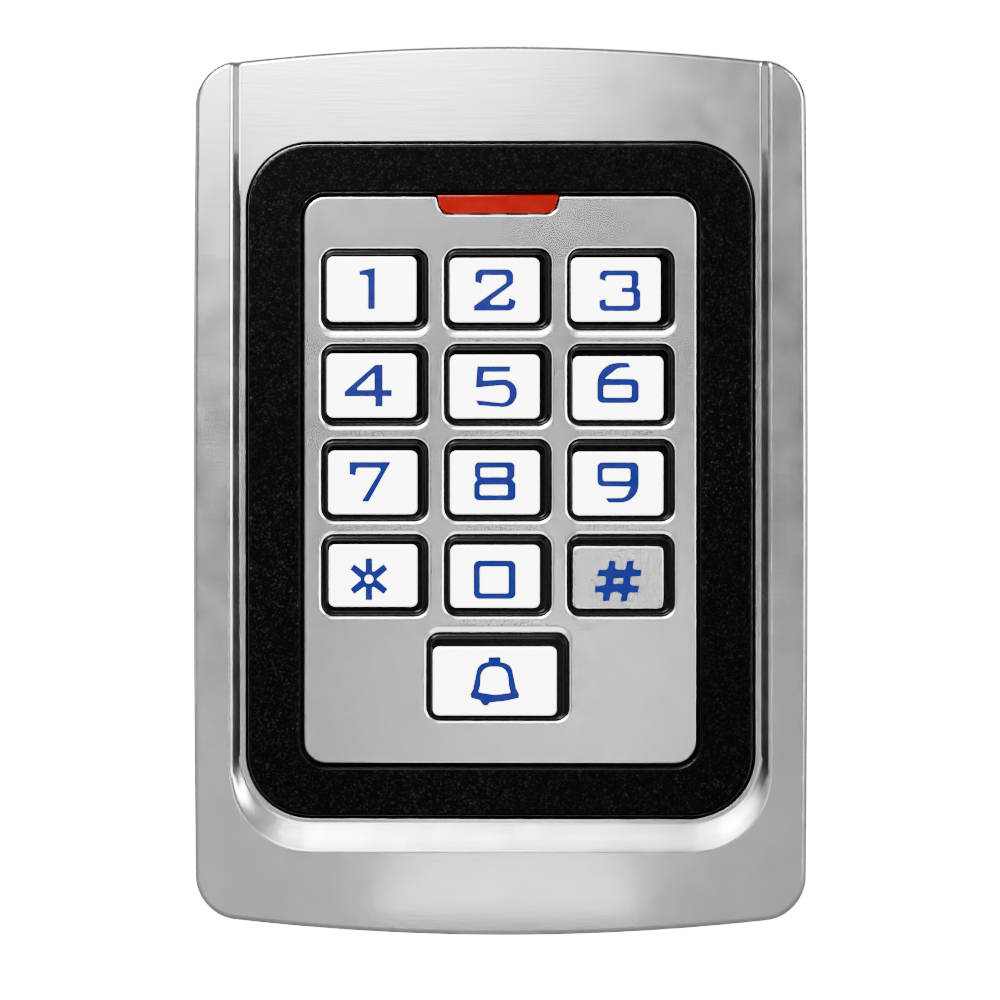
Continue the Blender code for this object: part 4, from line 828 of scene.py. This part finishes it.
def hash_loops():
    """Two leaning bars and two level bars, with filleted crossings and a small centre hole."""
    bar_x, bar_y, half_bar, end_x, end_y, fillet = 1.2, 1.07, 0.49, 2.96, 2.75, 0.35
    upper = [(end_x, bar_y - half_bar, 0.1), (end_x, bar_y + half_bar, 0.1),
             (bar_x + half_bar, bar_y + half_bar, fillet), (bar_x + half_bar, end_y, 0.1),
             (bar_x - half_bar, end_y, 0.1), (bar_x - half_bar, bar_y + half_bar, fillet)]
    left_upper = [(-c[0], *c[1:]) for c in upper[::-1]]
    crossing = (bar_x + half_bar, bar_y - half_bar, fillet / 1.2)
    half = upper + left_upper + [(-crossing[0], crossing[1], crossing[2]),
                                 (-crossing[0], -crossing[1], crossing[2])]
    half += [(-c[0], -c[1], *c[2:]) for c in half]
    hole = box_corners(-0.62, 0.34, 0.62, -0.34, 0.15)
    return [glyph([(c[0] + 0.163 * c[1], *c[1:]) for c in corners], (0.0, -0.5)) for corners in (half, hole)]


def bell_loops():
    x, y, radius = -1.23, -2.72, 0.62
    clapper = [(x + radius * math.cos(math.radians(a)), y + radius * math.sin(math.radians(a)))
               for a in range(-20, -161, -14)]
    outer = [(-0.87, 3.25, 0.1), (0.8, 3.28, 0.1), (0.86, 2.6), (2.25, 2.3, 1.4), (2.9, -0.9, 0.8),
             (3.32, -1.75, 0.15), (3.28, -2.3, 0.15), (1.6, -2.68, 0.5)] + clapper
    outer += [(-2.0, -2.62, 0.2), (-3.2, -2.3, 0.15), (-3.32, -1.7, 0.15), (-2.93, -1.0, 0.8),
              (-2.3, 2.3, 1.5), (-0.87, 2.63)]
    hole = [(-1.8, 1.9, 1.4), (1.65, 1.9, 1.4), (1.85, -0.6, 0.5), (2.1, -1.54, 0.15), (0.0, -1.8, 1.5),
            (-2.15, -1.47, 0.15), (-1.9, -0.6, 0.5)]
    return [glyph(outer), glyph(hole)]


GLYPHS = {  # shift of a digit on its cap, the corners of its outline, and those of its holes
    "1": ((-0.6, 0.1), [(-1.1, 2.37, 0.1), (1.1, 2.82, 0.1), (1.1, -2.82, 0.1), (0.1, -2.82, 0.1),
          (0.1, 1.75, 0.4), (-1.05, 1.75, 0.1)]),
    "2": ((0.0, 0.0), [(-2.65, 1.08, 0.1), (-2.65, 2.83, 0.9), (2.56, 2.83, 0.9), (2.56, 0.85, 0.6),
          (-1.13, -1.93, 0.3), (1.82, -1.93, 0.35), (1.87, -1.0, 0.1), (2.87, -1.38, 0.1),
          (2.87, -2.83, 1.1), (-2.83, -2.83, 0.1), (-2.83, -2.09, 0.15), (1.53, 1.04, 0.4),
          (1.53, 1.98, 0.35), (-1.58, 1.98, 0.3), (-1.71, 0.79, 0.1)]),
    "3": ((0.55, -0.15), [(-2.75, 1.5, 0.1), (-2.75, 2.78, 0.75), (2.56, 2.78, 0.65), (2.56, 0.77, 0.4),
          (2.3, 0.44), (2.8, -0.05, 0.4), (2.8, -2.78, 0.75), (-2.8, -2.78, 0.75), (-2.8, -1.28, 0.1),
          (-1.89, -1.06, 0.1), (-1.82, -1.98, 0.35), (1.77, -1.98, 0.4), (1.77, -0.25, 0.3),
          (0.22, -0.25, 0.1), (0.22, 0.44, 0.1), (1.55, 0.44, 0.3), (1.55, 1.99, 0.3),
          (-1.86, 1.99, 0.3), (-1.86, 1.21, 0.1)]),
    "4": ((-0.45, 0.0), [(0.95, 2.85, 0.25), (1.99, 2.85, 0.1), (1.99, -0.55, 0.08), (3.22, -0.55, 0.1),
          (3.22, -1.47, 0.1), (1.99, -1.47, 0.08), (1.99, -2.85, 0.1), (0.92, -2.85, 0.1),
          (0.92, -1.47, 0.2), (-3.22, -1.47, 0.1), (-3.22, -0.79, 0.1)], [(0.8, 1.75, 0.1),
          (0.8, -0.55, 0.1), (-1.6, -0.55, 0.1)]),
    "5": ((0.2, -0.08), [(-2.58, 2.83, 0.1), (1.96, 2.83, 0.1), (1.89, 2.0, 0.1), (-1.6, 2.0, 0.15),
          (-1.76, 0.92, 0.1), (2.85, 1.15, 1.8), (2.85, -2.88, 1.9), (-2.4, -2.5, 0.1),
          (-2.88, -1.7, 0.1), (1.75, -2.2, 1.05), (1.75, 0.3, 0.95), (-2.8, -0.12, 0.1)]),
    "6": ((0.0, 0.7), [(1.37, 2.75, 0.1), (1.78, 2.02, 0.1), (0.0, 1.95, 1.4), (-1.7, 0.58),
          (2.84, 0.55, 0.9), (2.84, -2.75, 0.8), (-2.84, -2.75, 0.8), (-2.84, 2.7, 2.8)],
          box_corners(-1.9, -0.34, 1.78, -1.94, 0.3)),
    "7": ((-0.33, 0.08), [(-2.84, 2.71, 0.1), (2.84, 2.71, 0.1), (-0.2, -2.71, 0.1),
          (-1.23, -2.71, 0.1), (1.5, 1.84, 0.2), (-1.81, 1.84, 0.3), (-1.93, 0.81, 0.1),
          (-2.8, 0.97, 0.1)]),
    "8": ((0.0, 0.15), [(-2.74, 2.62, 0.6), (2.72, 2.62, 0.6), (2.72, 0.75, 0.25), (2.4, 0.25),
          (2.84, -0.3, 0.3), (2.84, -2.62, 0.7), (-2.84, -2.62, 0.7), (-2.84, -0.3, 0.3), (-2.42, 0.25),
          (-2.74, 0.75, 0.25)], box_corners(-1.9, 1.78, 1.6, 0.6, 0.25),
          box_corners(-1.98, -0.5, 1.7, -1.82, 0.25)),
    "9": ((0.0, 0.13), [(-2.83, 2.77, 0.7), (2.83, 2.77, 0.8), (2.83, -2.77, 2.5), (-1.31, -2.72, 0.1),
          (-1.76, -2.03, 0.1), (1.0, -2.0, 1.0), (1.62, -0.6), (-2.83, -0.55, 0.8)],
          box_corners(-2.0, 1.84, 1.6, 0.25, 0.3)),
    "0": ((-0.05, -0.45), box_corners(-2.87, 2.62, 2.87, -2.62, 0.8),
          box_corners(-1.95, 1.74, 1.82, -1.78, 0.25)),
}


def legend_loops(name):
    """Outlines of a legend about the middle of its cap: the stroke's first, then its holes."""
    signs = {"star": star_loops, "hash": hash_loops, "bell": bell_loops}
    if name in signs:
        return signs[name]()
    shift, *loops = GLYPHS[name]
    return [glyph(loop, shift) for loop in loops]


def make_key(name):
    _, x, y, width, height = KEYS[name]
    body = f"body_key_{name}"
    outline = rect(width, height, CAP_R, (x, y))
    loops = [[point + Vector((x, y)) for point in loop] for loop in legend_loops(name)]
    bm = bmesh.new()
    stem = circle(STEM, (x, y), 32)
    levels = [(CAP_FRONT - sink, offset(outline, -inset)) for inset, sink in quarter(0.22, 4)]
    cap_rings = tower(bm, levels + [(CAP_BACK + 0.1, outline), (CAP_BACK, offset(outline, -0.1))])
    stem_rings = tower(bm, [(CAP_BACK, stem), (STEM_BACK, stem)])
    fill(bm, [cap_rings[-1], stem_rings[0]])
    fill(bm, [stem_rings[-1]])
    lip = 0.04
    pocket = []
    for index, loop in enumerate(loops):
        grow = lip if index == 0 else -lip
        pocket.append(tower(bm, [(CAP_FRONT, offset(loop, grow)), (CAP_FRONT - lip, loop),
                                 (CAP_FRONT - 0.3, loop)]))
    fill(bm, [cap_rings[0], pocket[0][0]])
    for ring in pocket[1:]:
        fill(bm, [ring[0]])
    fill(bm, [ring[-1] for ring in pocket])
    # the '#' cap alone gets the shaded copy of the key metal, with its painted highlight
    look = "shaded_key_metal" if name == "hash" else None
    piece(f"cap_{name}", bm, "bright_key_metal", [f"key_{name}"], body, look=look)

    levels = []
    for inset, z in ((0.02, CAP_FRONT - 0.25), (0.02, CAP_FRONT - 0.13), (0.03, CAP_FRONT - 0.09),
                     (0.06, CAP_FRONT - 0.07)):
        outlines = [offset(loops[0], -inset)] + [offset(loop, inset) for loop in loops[1:]]
        levels.append((z, outlines))
    piece(f"enamel_{name}", solid(levels), "legend_blue", [f"legend_{name}"],
          body, angle=70)


# ---- back
def make_rear_cover():
    outline = case_outline(REAR_WALL + 0.3)
    holes = [circle(12.0, (0.0, GROMMET_Y)), circle(6.0, TAMPER[:2])]
    holes += [rect(9.2, 6.0, 0.4, (side * HOOK_X, 35.5)) for side in (-1, 1)]
    holes.append(rect(17.2, 1.8, 0.4, (0.0, -53.4)))
    holes += [circle(3.2, at, 32) for at in COVER_POSTS]
    cover = plain_object("back_cover", slab(outline, holes, COVER_BACK, COVER_FRONT, 0.3, 0.0, 0.15))
    middle, groove, groove_depth = (0.0, -1.5), 0.6, 0.5
    groove_inside = rect(56.0 - 2 * groove, 104.0 - 2 * groove, 4.0 - groove, middle)
    cut = slab(rect(56.0, 104.0, 4.0, middle), [groove_inside], 1.0, COVER_BACK + groove_depth)
    combined(cover, cut, "DIFFERENCE")
    finish_piece(cover, "cover_black", ["rear_cover"], angle=35)

    gasket = slab(outline, [case_outline(SIDE_WALL - 0.2)], 4.3, 5.0)
    piece("gasket_ring", gasket, "rubber_black", ["cover_gasket"])
    window = slab(circle(TAMPER[2], TAMPER[:2]), [], COVER_BACK, COVER_FRONT, 0.25, 0.25)
    piece("light_window", window, "clear_plastic", ["tamper_window"])


def make_grommet():
    profile = [(4.25, 0.9), (4.0, 1.15), (4.0, 4.85), (4.25, 5.1), (7.1, 5.1), (7.5, 4.75), (7.5, 4.35),
               (5.7, 4.3), (5.7, 1.7), (7.5, 1.65), (7.5, 1.3), (7.1, 0.9), (6.2, 0.72), (5.0, 0.72)]
    bm = bmesh.new()
    rings = [ring_of(bm, circle(2 * r, (0.0, GROMMET_Y), 48), z) for r, z in profile]
    for index, ring in enumerate(rings):
        wall(bm, rings[index - 1], ring)
    piece("rubber_grommet", bm, "rubber_black", ["cable_grommet"])


def make_bracket():
    thick, sunk = 1.2, 0.6          # the sheet, and how far a tab starts inside it
    plate = rect(50.0, 98.0, 3.0, (0.0, -5.0))
    holes = [rect(4.0, 9.0, 1.95, (side * 15.0, y)) for side in (-1, 1) for y in (26.0, -38.0)]
    holes.append(circle(20.0, (0.0, GROMMET_Y), 64))
    bracket = plain_object("hanging_bracket", slab(plate, holes, 0.0, thick, 0.2, 0.2))
    tabs = []
    for side in (-1, 1):
        tabs.append(slab(rect(7.92, thick, 0.35, (side * HOOK_X, 37.6)), [], sunk, 5.3, 0.0, 0.2))
        tabs.append(slab(rect(8.0, 4.14, 0.4, (side * HOOK_X, 39.13)), [], 4.3, 5.5, 0.0, 0.2))
    tabs.append(slab(rect(16.0, thick, 0.4, (0.0, -53.35)), [], sunk, 11.2, 0.0, 0.3))
    for tab in tabs:
        combined(bracket, tab, "UNION")
    bore = slab(circle(3.1, sides=32), [], 0.0, 8.2)
    point_up(bore)
    combined(bracket, bore, "DIFFERENCE")
    finish_piece(bracket, "bracket_steel", ["wall_bracket"], angle=35)


def screw_mesh(shaft, head, head_height, length, lobes):
    """Pan-head screw along +z with its head below z = 0 and a star-shaped recess."""
    top, dome, tip = -head_height, 0.9, 0.9   # shares of the head's height and of the shaft
    bm = bmesh.new()
    recess = circle(head * 0.42, lobes=lobes, wave=0.22)
    levels = [(-head_height / 3, offset(recess, -0.15)), (top + 0.05, recess), (top, offset(recess, 0.06))]
    for share in (0.75, 0.9, 1.0):
        levels.append((top + head_height * (1 - math.sqrt(1 - (share * 0.98) ** 2)) * dome,
                       circle(head * share)))
    levels += [(0.0, circle(head)), (0.0, circle(shaft)), (length, circle(shaft * tip))]
    fill_ends(bm, tower(bm, levels))
    return bm


def make_screws():
    for index, at in enumerate(COVER_POSTS):
        bm = screw_mesh(2.6, 5.4, 1.3, 8.4, 4)
        bm.transform(Matrix.Translation((*at, 1.7)) @ Matrix.Rotation(0.5 * index + 0.3, 4, "Z"))
        piece(f"cover_fixing_{index + 1}", bm, "screw_steel",
              [f"cover_screw_{index + 1}"], angle=30)
    bm = screw_mesh(2.5, 5.5, 1.7, 6.5, 6)
    point_up(bm, 1.9)
    piece("security_fixing", bm, "screw_steel", ["security_screw"], angle=30)


def paint_inner_nodes():
    """Gives the CAD nodes that stay shown inside the case a look of their slot."""
    slots = {entry["node"]: entry["material_slot"] for entry in frame["record"]["subparts"]}
    for name, node in frame["nodes"].items():
        node.data.materials.clear()
        node.data.materials.append(MATERIALS[slots[name]])


# ---- studio
PALE, DIM = 30.0, 0.16              # brightness of the backdrop: seen directly, and as light
WHITE = (0.97, 0.98, 1.0, 1.0)
FLOOR_Z = -0.0612                   # just under the case


def make_studio():
    tree = Tree("studio_floor")
    base = tree.mix(tree.span(tree.noise(3.0), 0.0, 1.0), (0.040, 0.041, 0.043), (0.046, 0.047, 0.049))
    glow = tree.span(tree.add("ShaderNodeLightPath").outputs["Is Camera Ray"], 0.0, PALE, 0.0, 1.0)
    tree.set(Base_Color=base, Roughness=0.9, Specular_IOR_Level=0.1, Emission_Strength=glow,
             Emission_Color=WHITE)
    bpy.ops.mesh.primitive_plane_add(size=8.0, location=(0.0, 0.0, FLOOR_Z))
    floor = bpy.context.object
    floor.name = "studio_floor"
    floor.data.materials.append(tree.material)

    world = bpy.data.worlds.new("studio_world")
    bpy.context.scene.world = world
    world.use_nodes = True
    nodes, links = world.node_tree.nodes, world.node_tree.links
    background = nodes["Background"]
    seen = nodes.new("ShaderNodeLightPath").outputs["Is Camera Ray"]
    strength = nodes.new("ShaderNodeMapRange")
    strength.inputs["To Min"].default_value = DIM
    strength.inputs["To Max"].default_value = PALE
    links.new(seen, strength.inputs["Value"])
    background.inputs["Color"].default_value = WHITE
    links.new(strength.outputs["Result"], background.inputs["Strength"])

    def polar(azimuth, elevation, distance):
        """Place seen from the object: 0, 0 is straight in front of the keys, positive is right and up."""
        a, e = math.radians(azimuth), math.radians(elevation)
        return (distance * math.sin(a) * math.cos(e), -distance * math.cos(a) * math.cos(e),
                distance * math.sin(e))

    def area(name, at, target, size, power, colour=(1.0, 1.0, 1.0)):
        light = bpy.data.lights.new(name, "AREA")
        light.shape = "RECTANGLE"
        light.size, light.size_y = size
        light.energy = power
        light.color = colour
        obj = bpy.data.objects.new(name, light)
        obj.location = at
        obj.rotation_euler = (Vector(target) - Vector(at)).to_track_quat("-Z", "Y").to_euler()
        obj.visible_camera = False
        bpy.context.scene.collection.objects.link(obj)

    area("key_box", polar(-28.0, 40.0, 1.1), (0.0, 0.0, 0.0), (0.55, 0.40), 165.0, (1.0, 0.985, 0.96))
    area("fill_box", polar(48.0, 18.0, 1.2), (0.0, 0.0, 0.0), (0.35, 0.8), 42.0, (0.95, 0.97, 1.0))
    area("chin_card", polar(0.0, 34.0, 0.9), (0.0, 0.0, -0.045), (0.07, 0.10), 2.6)
    area("top_card", polar(-8.0, 14.0, 0.95), (0.0, 0.0, 0.03), (0.28, 0.08), 2.5)
    area("floor_glow", (0.0, -0.10, -0.0605), (0.0, -0.10, 0.0), (0.04, 0.10), 0.05)
    area("low_card", (0.0, -0.92, -0.045), (0.0, 0.0, -0.03), (0.05, 0.02), 0.14)
    area("left_card", polar(-92.0, 5.0, 0.6), (0.0, 0.0, 0.0), (0.3, 0.3), 0.3)
    area("right_card", polar(92.0, 5.0, 0.6), (0.0, 0.0, 0.0), (0.3, 0.3), 0.3)
    area("back_box", polar(160.0, 40.0, 1.2), (0.0, 0.0, 0.0), (1.0, 1.0), 14.0)

    camera_data = bpy.data.cameras.new("camera")
    camera = bpy.data.objects.new("camera", camera_data)
    bpy.context.scene.collection.objects.link(camera)
    azimuth, distance = math.radians(1.6), 0.80
    keys_in_front, view_width, sensor = 0.0095, 0.1349, 36.0    # metres, metres, millimetres
    target = Vector((-0.0003, -0.0105, -0.0013))
    camera.location = target + Vector((math.sin(azimuth), -math.cos(azimuth), 0.0)) * distance
    camera.rotation_euler = (target - camera.location).to_track_quat("-Z", "Y").to_euler()
    camera_data.sensor_width = sensor
    camera_data.lens = sensor * (distance - keys_in_front) / view_width
    camera_data.clip_start = 0.01
    bpy.context.scene.camera = camera


paint_inner_nodes()
make_front_case()
make_bezel()
make_plate()
make_lens()
make_mat()
for key_name in KEYS:
    make_key(key_name)
make_rear_cover()
make_grommet()
make_bracket()
make_screws()
make_studio()
